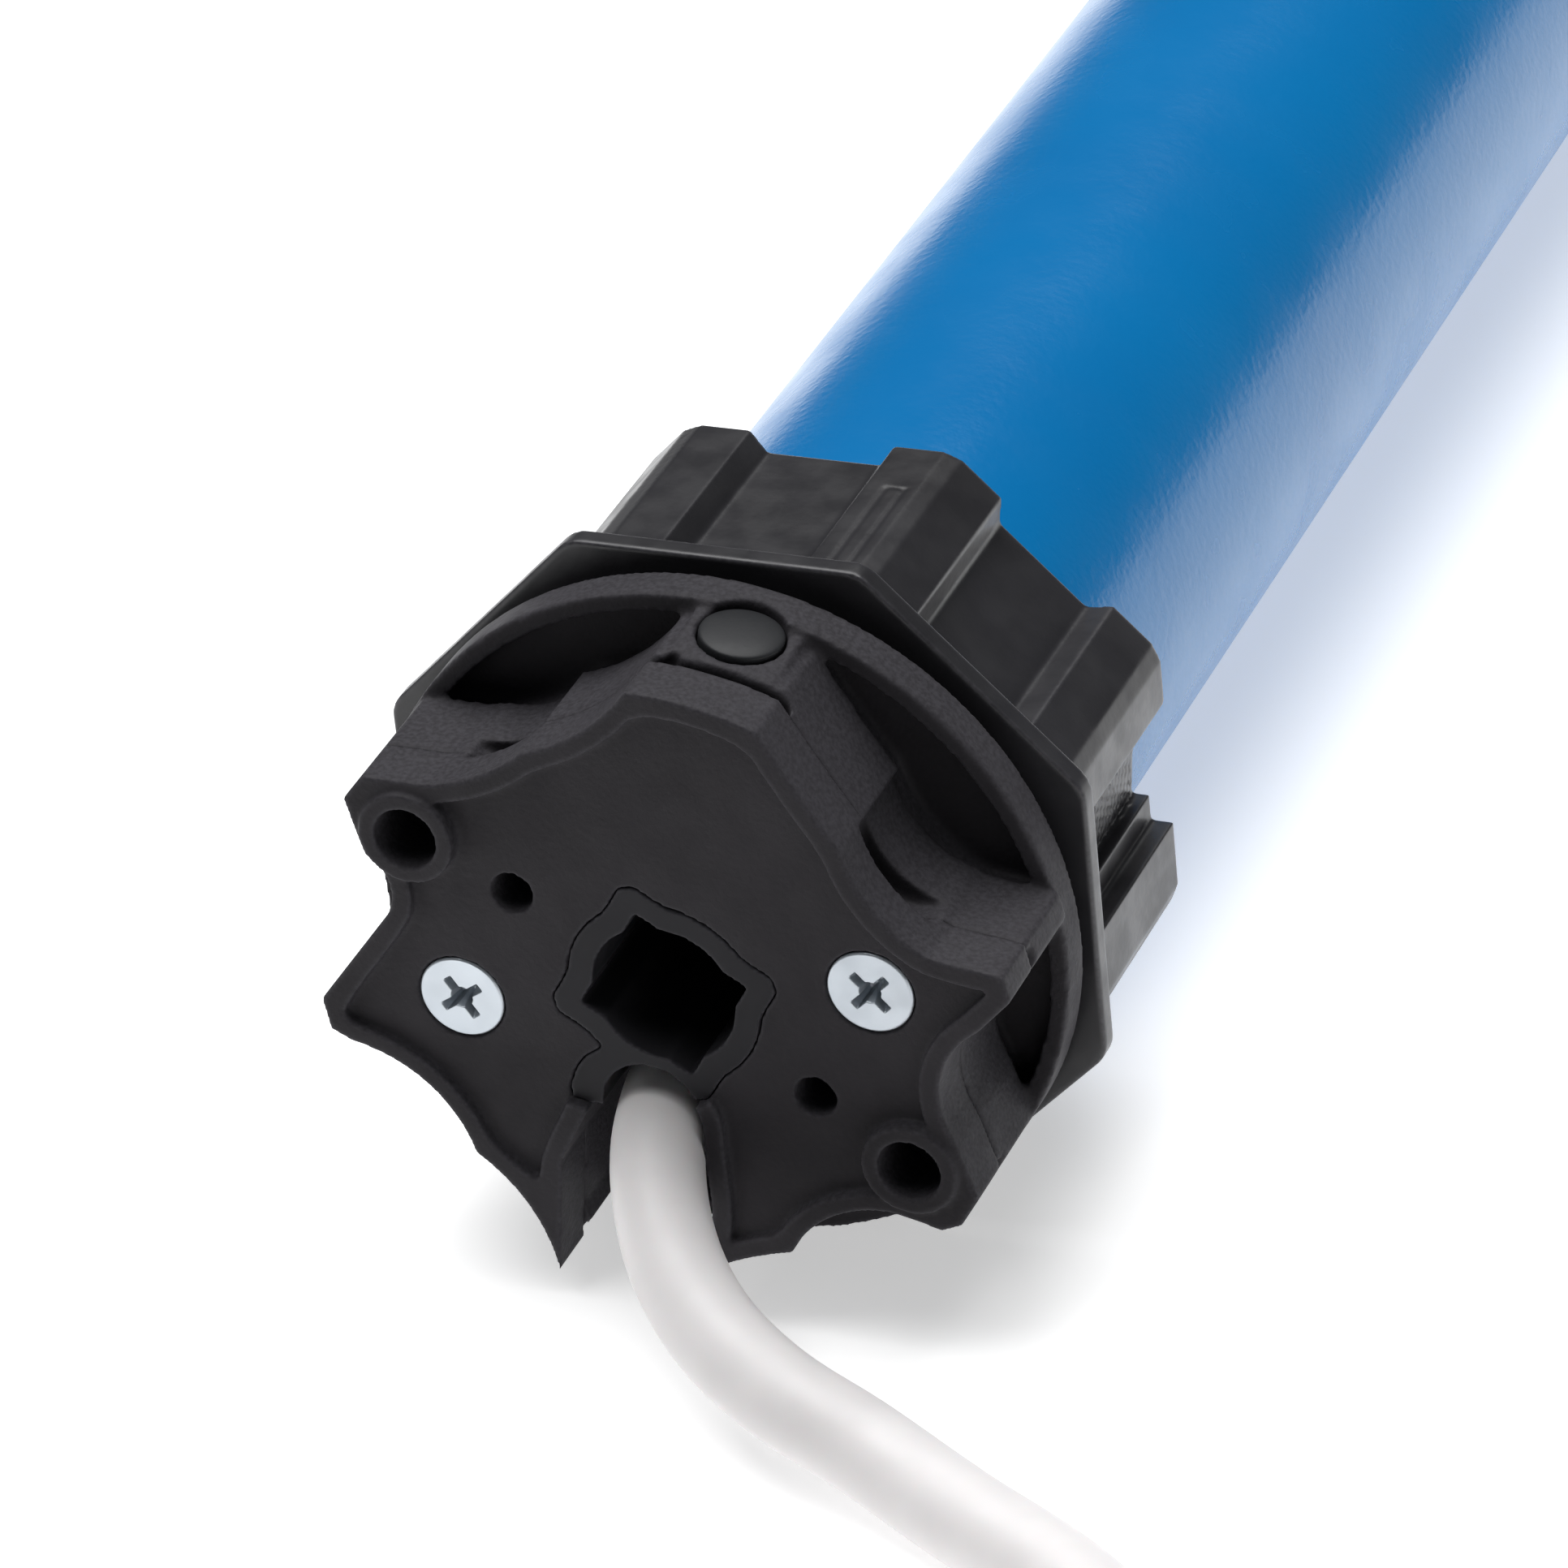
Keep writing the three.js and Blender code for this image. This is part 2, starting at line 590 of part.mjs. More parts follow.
// Blunt teeth with pointed roots between them, one tooth centred at angle 0.
function externalGear(teeth, bore, [y0, y1]) {
  const pitch = pitchRadius(teeth);
  const tip = pitch + GEAR.addendum;
  const half = Math.asin(GEAR.tipHalf / tip) / DEGREE;
  const outline = repeat(teeth, (k) => (360 * k) / teeth).flatMap((angle) => [
    polar(tip, angle - half),
    polar(tip, angle + half),
    polar(pitch - GEAR.root, angle + 180 / teeth),
  ]);
  return prism(outline, y0, y1, bore > 0 ? [circle(bore, 12)] : []);
}

// A toothed ring with a pointed tooth space centred at angle 0.
function internalGear(teeth, outer, y0, y1) {
  const pitch = pitchRadius(teeth);
  const hole = repeat(teeth, (k) => (360 * k) / teeth).flatMap((angle) => [
    polar(pitch + GEAR.ringRoot, angle),
    polar(pitch - GEAR.addendum, angle + 180 / teeth),
  ]);
  return prism(circle(outer, 36), y0, y1, [hole]);
}

function encoderOffset() {
  return pitchRadius(CRAWLER_TEETH) - pitchRadius(ENCODER.teeth);
}

// The pinion that the running ring drives, with its shaft and the magnet that the board reads.
function encoderGear() {
  const { teeth, gear, shaft, magnet, magnetY } = ENCODER;
  return union([
    externalGear(teeth, 0, gear),
    rod(shaft, [gear[1] - GAP, magnetY[0] + BITE], 8),
    rod(magnet, magnetY, 12),
  ]).translate([0, 0, encoderOffset()]);
}

function planetCentre(k) {
  return polar(pitchRadius(SUN.teeth) + pitchRadius(PLANET_TEETH), 120 * k);
}

function gearboxCasing() {
  const wall = ring([GEARBOX.opening, INNER_R], GEARBOX.front, 36);
  return wall.add(internalGear(GEARBOX.teeth, INNER_R, GEARBOX.front[1] - BITE, GEARBOX.end));
}

function sunGear(stage) {
  const [y0, y1] = stage.gears;
  return externalGear(SUN.teeth, SUN.bore, [y0 - SUN.lead, y1 + GAP]);
}

function planet(stage, k) {
  const centre = planetCentre(k);
  const gear = externalGear(PLANET_TEETH, stage.pin + GAP, stage.gears);
  return spun(gear, -120 * k).translate([centre.x, 0, centre.y]);
}

// A plate with three planet pins, and a stub for the next stage's sun or a hub for the output shaft.
function carrier(stage, next) {
  const [y0, y1] = stage.plate;
  const plate = rod(CARRIER.r, [y0, y1], 24);
  const pinSpan = [stage.gears[0] + BITE, y0 + BITE];
  const pins = repeat(3, (k) => rod(stage.pin, pinSpan, 10, planetCentre(k)));
  if (next) {
    return union([plate, ...pins, rod(CARRIER.stub, [y1 - BITE, next.gears[1]], 12)]);
  }
  const hub = rod(CARRIER.hub, [y1 - BITE, CARRIER.hubEnd], 20);
  const square = around(CARRIER.socket);
  return union([plate, ...pins, hub]).subtract(block(square, [y1 + BITE, CARRIER.hubEnd + 1], square));
}

// ---------------------------------------------------------------- tube and electronics

// A cylinder on a line from the axis outwards. Angles run anticlockwise from +X.
function radial(r, low, high, y, angle, segments) {
  const geometry = new THREE.CylinderGeometry(r, r, high - low, segments);
  geometry.rotateZ(-Math.PI / 2);
  geometry.translate((low + high) / 2, y, 0);
  return spun(solid(geometry), -angle);
}

function tubeScrewHoles() {
  const { y, hole, tip } = TUBE_SCREW;
  const depth = tip - 4;
  return Object.values(TUBE_SCREW_ANGLES).map((angle) => radial(hole, depth, TUBE_R + 4, y, angle, 16));
}

function tubeScrew(angle) {
  const { y, r, tip, head, headHeight } = TUBE_SCREW;
  const seat = TUBE_R + GAP;
  return union([
    radial(r, tip, seat + BITE, y, angle, 12),
    radial(head, seat, seat + headHeight, y, angle, 16),
  ]);
}

function motorTube() {
  return cut(ring([TUBE_BORE_R, TUBE_R], TUBE, 40), tubeScrewHoles());
}

// A trough along the bottom of the tube, with two ledges under the board.
function electronicsTray() {
  const angles = repeat(TRAY.steps + 1, (i) => TRAY.from + ((TRAY.to - TRAY.from) * i) / TRAY.steps);
  const outline = [
    ...angles.map((angle) => polar(TRAY.r, angle)),
    ...angles.map((angle) => polar(TRAY.inner, angle)).reverse(),
  ];
  const ledges = [LEDGE.x, -LEDGE.x].map((x) => block(around(LEDGE.half, x), LEDGE.y, LEDGE.z));
  return union([prism(outline, ...TRAY.y), ...ledges]);
}

function relay(side) {
  const across = [side * RELAY.from, side * RELAY.to].sort((a, b) => a - b);
  return block(across, RELAY.y, [PART_Z, RELAY.top]);
}

// Leads from the board, over the capacitor and through the front shield to the windings.
function motorLeads() {
  const route = [
    [6, 150, -1.5],
    [7, 156, 4],
    [8.5, 163, 14],
    [9, 175, 15.6],
    [9, 230, 15.6],
    [9, 267.5, 13.9],
  ];
  return tubeAlong(route, LEADS_R, 8, 14);
}

// ---------------------------------------------------------------- motor and brake

// Closed but for the shaft at its wall, and open at its mouth, where the bearing goes in.
function endShield({ mouth, wall, seat }) {
  const { shaftHole, bearingSeat } = SHIELD;
  return turned([
    [bearingSeat, mouth], [INNER_R, mouth], [INNER_R, wall],
    [shaftHole, wall], [shaftHole, seat], [bearingSeat, seat],
  ], 28);
}

function frontEndShield() {
  const { r, y, x, z } = LEAD_HOLE;
  return endShield(FRONT_SHIELD).subtract(rod(r, y, 8, point(x, z)));
}

function bearing(y) {
  return ring([BEARING.inner, BEARING.outer], [y, y + BEARING.width], 20);
}

function statorCore() {
  const { y, bore, slots, slotHalf, slotR } = STATOR;
  const slot = rectangle(slotR[0], -slotHalf, slotR[1], slotHalf);
  const holes = repeat(slots, (k) => (360 / slots) * k * DEGREE).map((angle) => (
    slot.map((p) => p.clone().rotateAround(point(0, 0), angle))
  ));
  return prism(circle(INNER_R, 36), ...y, [circle(bore, 36), ...holes]);
}

function statorWindings() {
  const { r: [inner, outer], bevel, rise, ends } = WINDING;
  const bar = block(WINDING_BAR.r, WINDING_BAR.y, around(WINDING_BAR.half));
  const bars = repeat(STATOR.slots, (k) => spun(bar, (360 / STATOR.slots) * k));
  const heads = ends.map(([y0, y1]) => turned([
    [inner, y0 + rise], [inner + bevel, y0], [outer - bevel, y0], [outer, y0 + rise],
    [outer, y1], [inner, y1],
  ], 24));
  return union([...heads, ...bars]);
}

function rotorShaft() {
  const { r, thin, from, thickTo, thinFrom, to } = SHAFT;
  return turned([[0, from], [r, from], [r, thickTo], [thin, thinFrom], [thin, to], [0, to]], 14);
}

// The laminated core, stepped down at both ends to its short-circuit rings.
function rotorCore() {
  const { bore, r, ring: end, y, coreY } = ROTOR;
  return turned([
    [bore, y[0]], [end, y[0]], [end, coreY[0]], [r, coreY[0]],
    [r, coreY[1]], [end, coreY[1]], [end, y[1]], [bore, y[1]],
  ], 24);
}

function brakeMagnet() {
  const { y: [back, face], groove, poles: [bore, inner, outer] } = MAGNET;
  return turned([
    [bore, back], [INNER_R, back], [INNER_R, face], [outer, face],
    [outer, groove], [inner, groove], [inner, face], [bore, face],
  ], 24);
}

function brakeSpring() {
  const { r, wire, from, rise, turns, steps } = SPRING;
  const route = repeat(steps + 1, (i) => {
    const turn = 2 * Math.PI * turns * (i / steps);
    return [r * Math.cos(turn), from + (rise * i) / steps, r * Math.sin(turn)];
  });
  return tubeAlong(route, wire, 5, steps);
}

// ---------------------------------------------------------------- output end

function outputCap() {
  const { bore, hub, skirt, from, web, flange } = CAP;
  return cut(turned([
    [bore, from], [hub, from], [hub, web], [skirt, web], [skirt, from], [INNER_R, from],
    [INNER_R, flange[0]], [TUBE_R, flange[0]], [TUBE_R, flange[1]], [bore, flange[1]],
  ], 32), tubeScrewHoles());
}

function outputBush() {
  const { bore, r, flangeR, from, flange } = BUSH;
  return turned([
    [bore, from], [r, from], [r, flange[0]],
    [flangeR, flange[0]], [flangeR, flange[1]], [bore, flange[1]],
  ], 20);
}

// Round in its bush, with a square tongue in the last carrier and a square end in the drive wheel.
function outputShaft() {
  const { r, y, tongue, tongueFrom, square, end } = OUTPUT;
  const body = union([
    rod(r, y, 20),
    block(around(tongue), [tongueFrom, y[0] + BITE], around(tongue)),
    block(around(square), [y[1] - BITE, end], around(square)),
  ]);
  return body.subtract(rod(OUTPUT_HOLE.r, [OUTPUT_HOLE.from, end + 1], 12));
}

function driveWheel() {
  const { y, bore, web, hub, ribY, ribHalf } = WHEEL;
  const rim = prism(crownOutline(WHEEL_FLATS), ...y, [circle(bore)]);
  const rib = block([hub - 1, bore + 1], ribY, around(ribHalf));
  const ribs = repeat(8, (k) => spun(rib, 22.5 + 45 * k));
  const square = around(OUTPUT.square + GAP);
  const wheel = union([rim, rod(bore + BITE, web, 32), rod(hub, y, 16), ...ribs]);
  return wheel.subtract(block(square, [y[0] - 1, y[1] + 1], square));
}

function wheelScrew() {
  const { r, from, washer, washerY: [under, over], head, bevelFrom } = WHEEL_SCREW;
  return turned([
    [0, from], [r, from], [r, under], [washer, under], [washer, over],
    [head, over], [head, bevelFrom], [head - 0.8, OVERALL_END], [0, OVERALL_END],
  ], 16);
}

// ---------------------------------------------------------------- cable

const GROUND = -AXIS_HEIGHT;
const CABLE_LEVEL = GROUND + CABLE_R;

// The free stretch of the cable, from its end in the gland to the coil, relative to the motor's axis
// and the head's face. It leaves straight, bends down through the slot and then lies on the ground.
const CABLE_ROUTE = [
  [-2.3, CABLE_END, -11.4],
  [-2.3, 27, -11.4],
  [-2.3, 20, -11.4],
  [-2.4, 13, -11.4],
  [-2.7, 6, -12.2],
  [-1.8, -0.6, -13.9],
  [0.6, -6.5, -16.3],
  [4.4, -11.8, -18.7],
  [9, -16, -20.8],
  [15.2, -19.3, -22.9],
  [23.1, -21.9, -24.8],
  [33.1, -26.6, -26.3],
  [45.8, -33.7, CABLE_LEVEL],
  [61, -47.3, CABLE_LEVEL],
  [76, -75, CABLE_LEVEL],
  [COIL.x + COIL.inner + 6 * CABLE_R, COIL.y, CABLE_LEVEL],
];

// The outer shape of the coil: a lower layer, and a narrower upper layer on its inner turns.
function coil(grow, segments) {
  const pitch = 2 * CABLE_R;
  const inner = COIL.inner - CABLE_R - grow;
  const outer = COIL.inner + (COIL.turns - 1) * pitch + CABLE_R + grow;
  const ledge = COIL.inner + (COIL.upperTurns - 1) * pitch + CABLE_R + grow;
  const profile = [
    point(inner, -grow), point(outer, -grow), point(outer, pitch + grow),
    point(ledge, pitch + grow), point(ledge, 2 * pitch + grow), point(inner, 2 * pitch + grow),
    point(inner, -grow),
  ];
  const geometry = new THREE.LatheGeometry(profile, segments);
  geometry.rotateX(Math.PI / 2);
  geometry.translate(COIL.x, COIL.y, GROUND);
  return solid(geometry);
}

function cableLead() {
  return tubeAlong(CABLE_ROUTE, CABLE_R, 10, 26).subtract(coil(GAP, 32));
}

// A stripped core resting on the coil's outer turn.
function cableCore(lane) {
  const steps = 5;
  const r = CORE.first + (2 * CORE.r + GAP) * lane;
  const height = GROUND + 2 * CABLE_R + GAP + CORE.r;
  const route = repeat(steps + 1, (i) => {
    const angle = (CORE.start + CORE.stagger * lane + (CORE.sweep * i) / steps) * DEGREE;
    return [COIL.x + r * Math.cos(angle), COIL.y + r * Math.sin(angle), height];
  });
  return tubeAlong(route, CORE.r, 8, steps);
}

// ---------------------------------------------------------------- assembly

const motor = new THREE.Group();
motor.position.set(0, -CENTRE_Y, AXIS_HEIGHT);
const head = new THREE.Group();
head.rotation.y = HEAD_TURN * DEGREE;
motor.add(head);

function place(group, name, body, look) {
  const { vertProperties, triVerts, numProp } = body.getMesh();
  const geometry = new THREE.BufferGeometry();
  geometry.setAttribute('position', new THREE.BufferAttribute(vertProperties, numProp));
  geometry.setIndex(new THREE.BufferAttribute(triVerts, 1));
  geometry.computeVertexNormals();
  const piece = new THREE.Mesh(geometry, look);
  piece.name = name;
  group.add(piece);
}

const [screwRight, screwLeft] = atBothScrews(headScrew());
place(head, 'head_cover', headCover(), BLACK_PLASTIC);
place(head, 'head_body', headBody(), BLACK_PLASTIC);
place(head, 'socket_insert', socketInsert(), SMOOTH_BLACK);
place(head, 'head_screw_right', screwRight, ZINC);
place(head, 'head_screw_left', screwLeft, ZINC);
place(head, 'set_button', setButton(), BUTTON_GREY);
place(head, 'button_switch', buttonSwitch(), RUBBER);
place(head, 'cable_gland', cableGland(), RUBBER);

place(motor, 'crown_adapter', crownAdapter(), SMOOTH_BLACK);
place(motor, 'running_ring', runningRing(), GREY_PLASTIC);
place(motor, 'encoder_gear', encoderGear(), GEAR_PLASTIC);

place(motor, 'motor_tube', motorTube(), BLUE_PAINT);
Object.entries(TUBE_SCREW_ANGLES).forEach(([name, angle]) => {
  place(motor, name, tubeScrew(angle), ZINC);
});

const terminalBlock = block(around(TERMINALS.half), TERMINALS.y, [PART_Z, TERMINALS.top]);
const powerModule = block(around(MODULE.half), MODULE.y, [PART_Z, MODULE.top]);
const runCapacitor = rod(CAPACITOR.r, CAPACITOR.y, 32, point(0, CAPACITOR.z));
place(motor, 'electronics_tray', electronicsTray(), GREY_PLASTIC);
place(motor, 'circuit_board', block(around(BOARD.half), BOARD.y, BOARD.z), BOARD_GREEN);
place(motor, 'terminal_block', terminalBlock, BOARD_GREEN);
place(motor, 'relay_up', relay(-1), RELAY_BLUE);
place(motor, 'relay_down', relay(1), RELAY_BLUE);
place(motor, 'power_module', powerModule, BLACK_PLASTIC);
place(motor, 'run_capacitor', runCapacitor, ALUMINIUM);
place(motor, 'motor_leads', motorLeads(), RUBBER);

place(motor, 'front_end_shield', frontEndShield(), ALUMINIUM);
place(motor, 'front_bearing', bearing(BEARING.front), STEEL);
place(motor, 'stator_core', statorCore(), DARK_STEEL);
place(motor, 'stator_windings', statorWindings(), COPPER);
place(motor, 'rotor_shaft', rotorShaft(), STEEL);
place(motor, 'rotor_core', rotorCore(), DARK_STEEL);
place(motor, 'rear_bearing', bearing(BEARING.rear), STEEL);
place(motor, 'rear_end_shield', endShield(REAR_SHIELD), ALUMINIUM);

place(motor, 'brake_magnet', brakeMagnet(), DARK_STEEL);
place(motor, 'brake_spring', brakeSpring(), STEEL);
place(motor, 'brake_plate', ring(BRAKE_PLATE.r, BRAKE_PLATE.y, 24), STEEL);
place(motor, 'brake_disc', ring(BRAKE_DISC.r, BRAKE_DISC.y, 24), RUBBER);

place(motor, 'gearbox_casing', gearboxCasing(), GREY_PLASTIC);
STAGES.forEach((stage, index) => {
  const number = index + 1;
  place(motor, `sun_gear_${number}`, sunGear(stage), STEEL);
  ['a', 'b', 'c'].forEach((letter, k) => {
    place(motor, `planet_${number}${letter}`, planet(stage, k), GEAR_PLASTIC);
  });
  place(motor, `carrier_${number}`, carrier(stage, STAGES[number]), STEEL);
});

place(motor, 'output_cap', outputCap(), BLACK_PLASTIC);
place(motor, 'output_bush', outputBush(), BRONZE);
place(motor, 'output_shaft', outputShaft(), STEEL);
place(motor, 'drive_wheel', driveWheel(), SMOOTH_BLACK);
place(motor, 'wheel_screw', wheelScrew(), ZINC);

place(motor, 'cable_lead', cableLead(), CABLE_GREY);
place(motor, 'cable_coil', coil(0, 32), CABLE_GREY);
const coreLooks = { cable_core_brown: CORE_BROWN, cable_core_blue: CORE_BLUE, cable_core_earth: CORE_GREEN };
Object.entries(coreLooks).forEach(([name, look], lane) => {
  place(motor, name, cableCore(lane), look);
});

export default motor;
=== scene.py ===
import json
import math

import bmesh
import bpy
import numpy as np
from mathutils import Matrix, Vector


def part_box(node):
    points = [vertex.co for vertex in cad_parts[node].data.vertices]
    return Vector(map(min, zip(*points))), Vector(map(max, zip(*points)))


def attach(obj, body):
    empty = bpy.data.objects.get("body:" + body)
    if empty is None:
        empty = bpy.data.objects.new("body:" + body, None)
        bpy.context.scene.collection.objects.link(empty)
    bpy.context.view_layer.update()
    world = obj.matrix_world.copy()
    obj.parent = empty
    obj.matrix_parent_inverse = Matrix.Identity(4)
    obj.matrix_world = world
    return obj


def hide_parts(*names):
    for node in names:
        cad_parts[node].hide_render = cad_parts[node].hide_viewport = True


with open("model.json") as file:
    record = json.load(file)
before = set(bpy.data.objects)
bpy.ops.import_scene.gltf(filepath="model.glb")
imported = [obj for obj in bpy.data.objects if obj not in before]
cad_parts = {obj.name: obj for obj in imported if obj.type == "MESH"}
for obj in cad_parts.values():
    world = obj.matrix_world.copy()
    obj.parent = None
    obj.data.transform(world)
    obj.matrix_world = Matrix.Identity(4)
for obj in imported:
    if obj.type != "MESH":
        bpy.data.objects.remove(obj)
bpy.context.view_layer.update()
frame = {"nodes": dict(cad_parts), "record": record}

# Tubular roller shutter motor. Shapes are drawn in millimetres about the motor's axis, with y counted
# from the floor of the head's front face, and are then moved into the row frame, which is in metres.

# ---------------------------------------------------------------- dimensions (mm, degrees)

MM = 0.001
GAP = 0.3
OVERLAP = 0.5                       # by which solids that are joined reach into each other
HEAD_TURN = 11.34                   # how far the head is turned about the axis, clockwise from the front
BOSS = {"r": 24.2, "angle": -20.3, "hole": 2.7, "depth": 11, "ring": 4.1, "height": 1.6}
SCREW = {"r": 18.36, "angle": 20.6, "head": 3.7, "rim": 0.35, "sink": 2.2, "shank": 1.5, "length": 15,
         "room": 0.12, "shank_room": 0.4}
CROSS = {"reach": 2.1, "half": 0.4, "narrowing": 0.6, "depth": 2.3, "cone": (1.0, 0.3), "cone_depth": 2.5,
         "turn_right": 35, "turn_left": 45}
SMALL_HOLE = {"r": 14.7, "angle": -21, "hole": 1.8}
SOCKET = {"r": 6.2, "corner": 7.6, "turn": 24.5, "depth": 22}
INSERT = {"wall": 2.2, "depth": 24}
HOOK = {"reach": 6.9, "drop": 1.2, "depth": 8}
LUG = {"half": 11.2, "front": 28.8, "back": 30.2, "inner": 18}
LIP = {"height": 1.0, "width": 1.8}
COLLAR = {"r": 30.2, "from": 12.0, "to": 15.8, "rim": 1.6, "web": 1.4}
NECK = {"r": 21.2, "end": 60, "hollow": 18.2, "hollow_from": 42}
BUTTON = {"y": 9.9, "r": 3.5, "flange": 3.9, "low": 25.6, "shoulder": 26.8, "top": 29.7, "rise": 0.5}
COVER_BACK, BODY_FRONT, LUG_FRONT = 4.3, 4.2, 5.2   # the body starts inside the cover, so the seam is shut
JOINT, SEAM = 0.14, 0.04                            # gaps round the button and round the pressed-in insert
SPIGOT_R = 13
CROWN = {"flange": (17.9, 19.9), "end": 42, "pads": 56.8, "recess": 52.9, "bore": 24.3, "flats": 61}
WHEEL = {"y": (527, 548), "pads": 58, "recess": 54.6, "bore": 23.4, "web": (535, 538.5), "web_r": 24,
         "hub": 9.5, "square": 5.3}
RIB = {"x": (8.5, 24.5), "y": (529, 546), "half": 1.2}
PAD = {"start": 6.4, "slope": 1.4, "bevel": 0.9}
CORNER_R = 3                        # at the corners of the crown's flange
RIGHT_STEP = {"x": 26, "z": (-8, -4.8)}
KEY_ROOM = {"x": (23, 26.5), "half": 2.3, "y": (19.7, 60), "angles": (22.5, 202.5)}
BUTTON_ROOM = {"r": 4.2, "z": (24.6, 27.2)}
SWITCH_ROOM = {"half": 3.4, "z": (20.2, 25)}
GLAND_ROOM = {"r": 5.5, "y": (25, 50)}
WAY_OUT = {"half": 5, "z": (-40, -12.6)}
ENCODER_ROOM = {"gear": 6, "magnet": 3.5, "y": (33.5, 43), "z": 17.2}
TONGUE = {"half": 0.8, "deep": 0.45, "y": (22.5, 35.5), "places": ((90, -9.2), (-45, 8.4))}
HOLLOW = {"undercut": 1.1, "step": 0.3}
SCALLOP_STEP = 0.9
POCKET = {"y": (3.3, 6.3), "depth": 3.1}
SLIT = {"half": 6.4, "z": (24, 40)}
JOG = {"x": (-4.6, -3.4), "y": (-0.1, 0.7), "z": (27, 40)}
NOTCH_R, NOTCHES = 0.9, ((28.9, 11.2), (28.4, -10.2), (-6.2, -30.0))
PATCH = {"step": 0.42, "rows": 52, "columns": 13, "z": -2.2, "under": 24.6, "floor": 25.05, "tilt": 0.09,
         "relief": 0.22}
TUBE = {"r": 22.5, "bore": 21.5, "y": (42.6, 519.7), "chamfer": 0.3}
CABLE_R, CABLE_DROP, CABLE_END = 3.9, 11.6, 33.7
COIL = {"x": 25, "y": -119.5, "inner": 31.3, "turns": 4, "upper": 2}
THROUGH = (-9, 9)                   # along the axis, right through the cover

# The size of the cells in which each moulded piece is rounded off.
CELL = {"cover": 0.22, "body": 0.3, "insert": 0.2, "screw": 0.08, "button": 0.13, "crown": 0.22,
        "wheel": 0.33}

tube_low, tube_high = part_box("motor_tube")
AXIS_Z = (tube_low[2] + tube_high[2]) / 2
FACE_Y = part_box("head_cover")[0][1] + BOSS["height"] * MM
GROUND = -AXIS_Z / MM


def to_row(turn=0):
    """The matrix from the motor's millimetres, turned about its axis, to the row frame."""
    move = Matrix.Translation((0, FACE_Y, AXIS_Z))
    return move @ Matrix.Rotation(math.radians(turn), 4, "Y") @ Matrix.Scale(MM, 4)


# ---------------------------------------------------------------- camera

CAMERA = {"place": (243.43, -498.66, 349.54), "azimuth": 24.84, "elevation": 30.83, "roll": -6.06,
          "lens": 187.5}


def make_camera():
    azimuth, elevation, roll = (math.radians(CAMERA[k]) for k in ("azimuth", "elevation", "roll"))
    flat = math.cos(elevation)
    back = Vector((math.sin(azimuth) * flat, -math.cos(azimuth) * flat, math.sin(elevation)))
    right = (-back).cross(Vector((0, 0, 1))).normalized()
    up = right.cross(-back)
    image_right = right * math.cos(roll) + up * math.sin(roll)
    image_up = up * math.cos(roll) - right * math.sin(roll)
    camera = bpy.data.objects.new("camera", bpy.data.cameras.new("camera"))
    camera.data.lens = CAMERA["lens"]
    camera.data.sensor_width = 36
    camera.data.clip_start, camera.data.clip_end = 0.01, 20
    axes = Matrix((image_right, image_up, back)).transposed().to_4x4()
    camera.matrix_world = Matrix.Translation(to_row() @ Vector(CAMERA["place"])) @ axes
    bpy.context.scene.collection.objects.link(camera)
    bpy.context.scene.camera = camera


# ---------------------------------------------------------------- materials


def new_material(name):
    material = bpy.data.materials.new(name)
    material.use_nodes = True
    return material, material.node_tree.nodes, material.node_tree.links


def noise(nodes, links, scale, detail=3.0, stretch=(1, 1, 1)):
    """A noise texture in object space. scale is in features per metre."""
    place = nodes.new("ShaderNodeTexCoord")
    mapping = nodes.new("ShaderNodeMapping")
    mapping.inputs["Scale"].default_value = stretch
    texture = nodes.new("ShaderNodeTexNoise")
    texture.inputs["Scale"].default_value = scale
    texture.inputs["Detail"].default_value = detail
    links.new(place.outputs["Object"], mapping.inputs["Vector"])
    links.new(mapping.outputs["Vector"], texture.inputs["Vector"])
    return texture.outputs["Fac"]


def ramp(nodes, links, value, low, high, start=0.35, end=0.65):
    """A colour or grey that runs from low to high as value runs from start to end."""
    node = nodes.new("ShaderNodeValToRGB")
    for element, position, colour in zip(node.color_ramp.elements, (start, end), (low, high)):
        element.position = position
        element.color = (*colour, 1) if isinstance(colour, tuple) else (colour, colour, colour, 1)
    links.new(value, node.inputs["Fac"])
    return node.outputs["Color"]


def add_bump(nodes, links, height, strength, distance_mm):
    bump = nodes.new("ShaderNodeBump")
    bump.inputs["Strength"].default_value = strength
    bump.inputs["Distance"].default_value = distance_mm * MM
    links.new(height, bump.inputs["Height"])
    return bump.outputs["Normal"]


WEAR_GRAIN = 2400                   # features per metre of the noise that breaks up the worn edges and the painted light on the walls
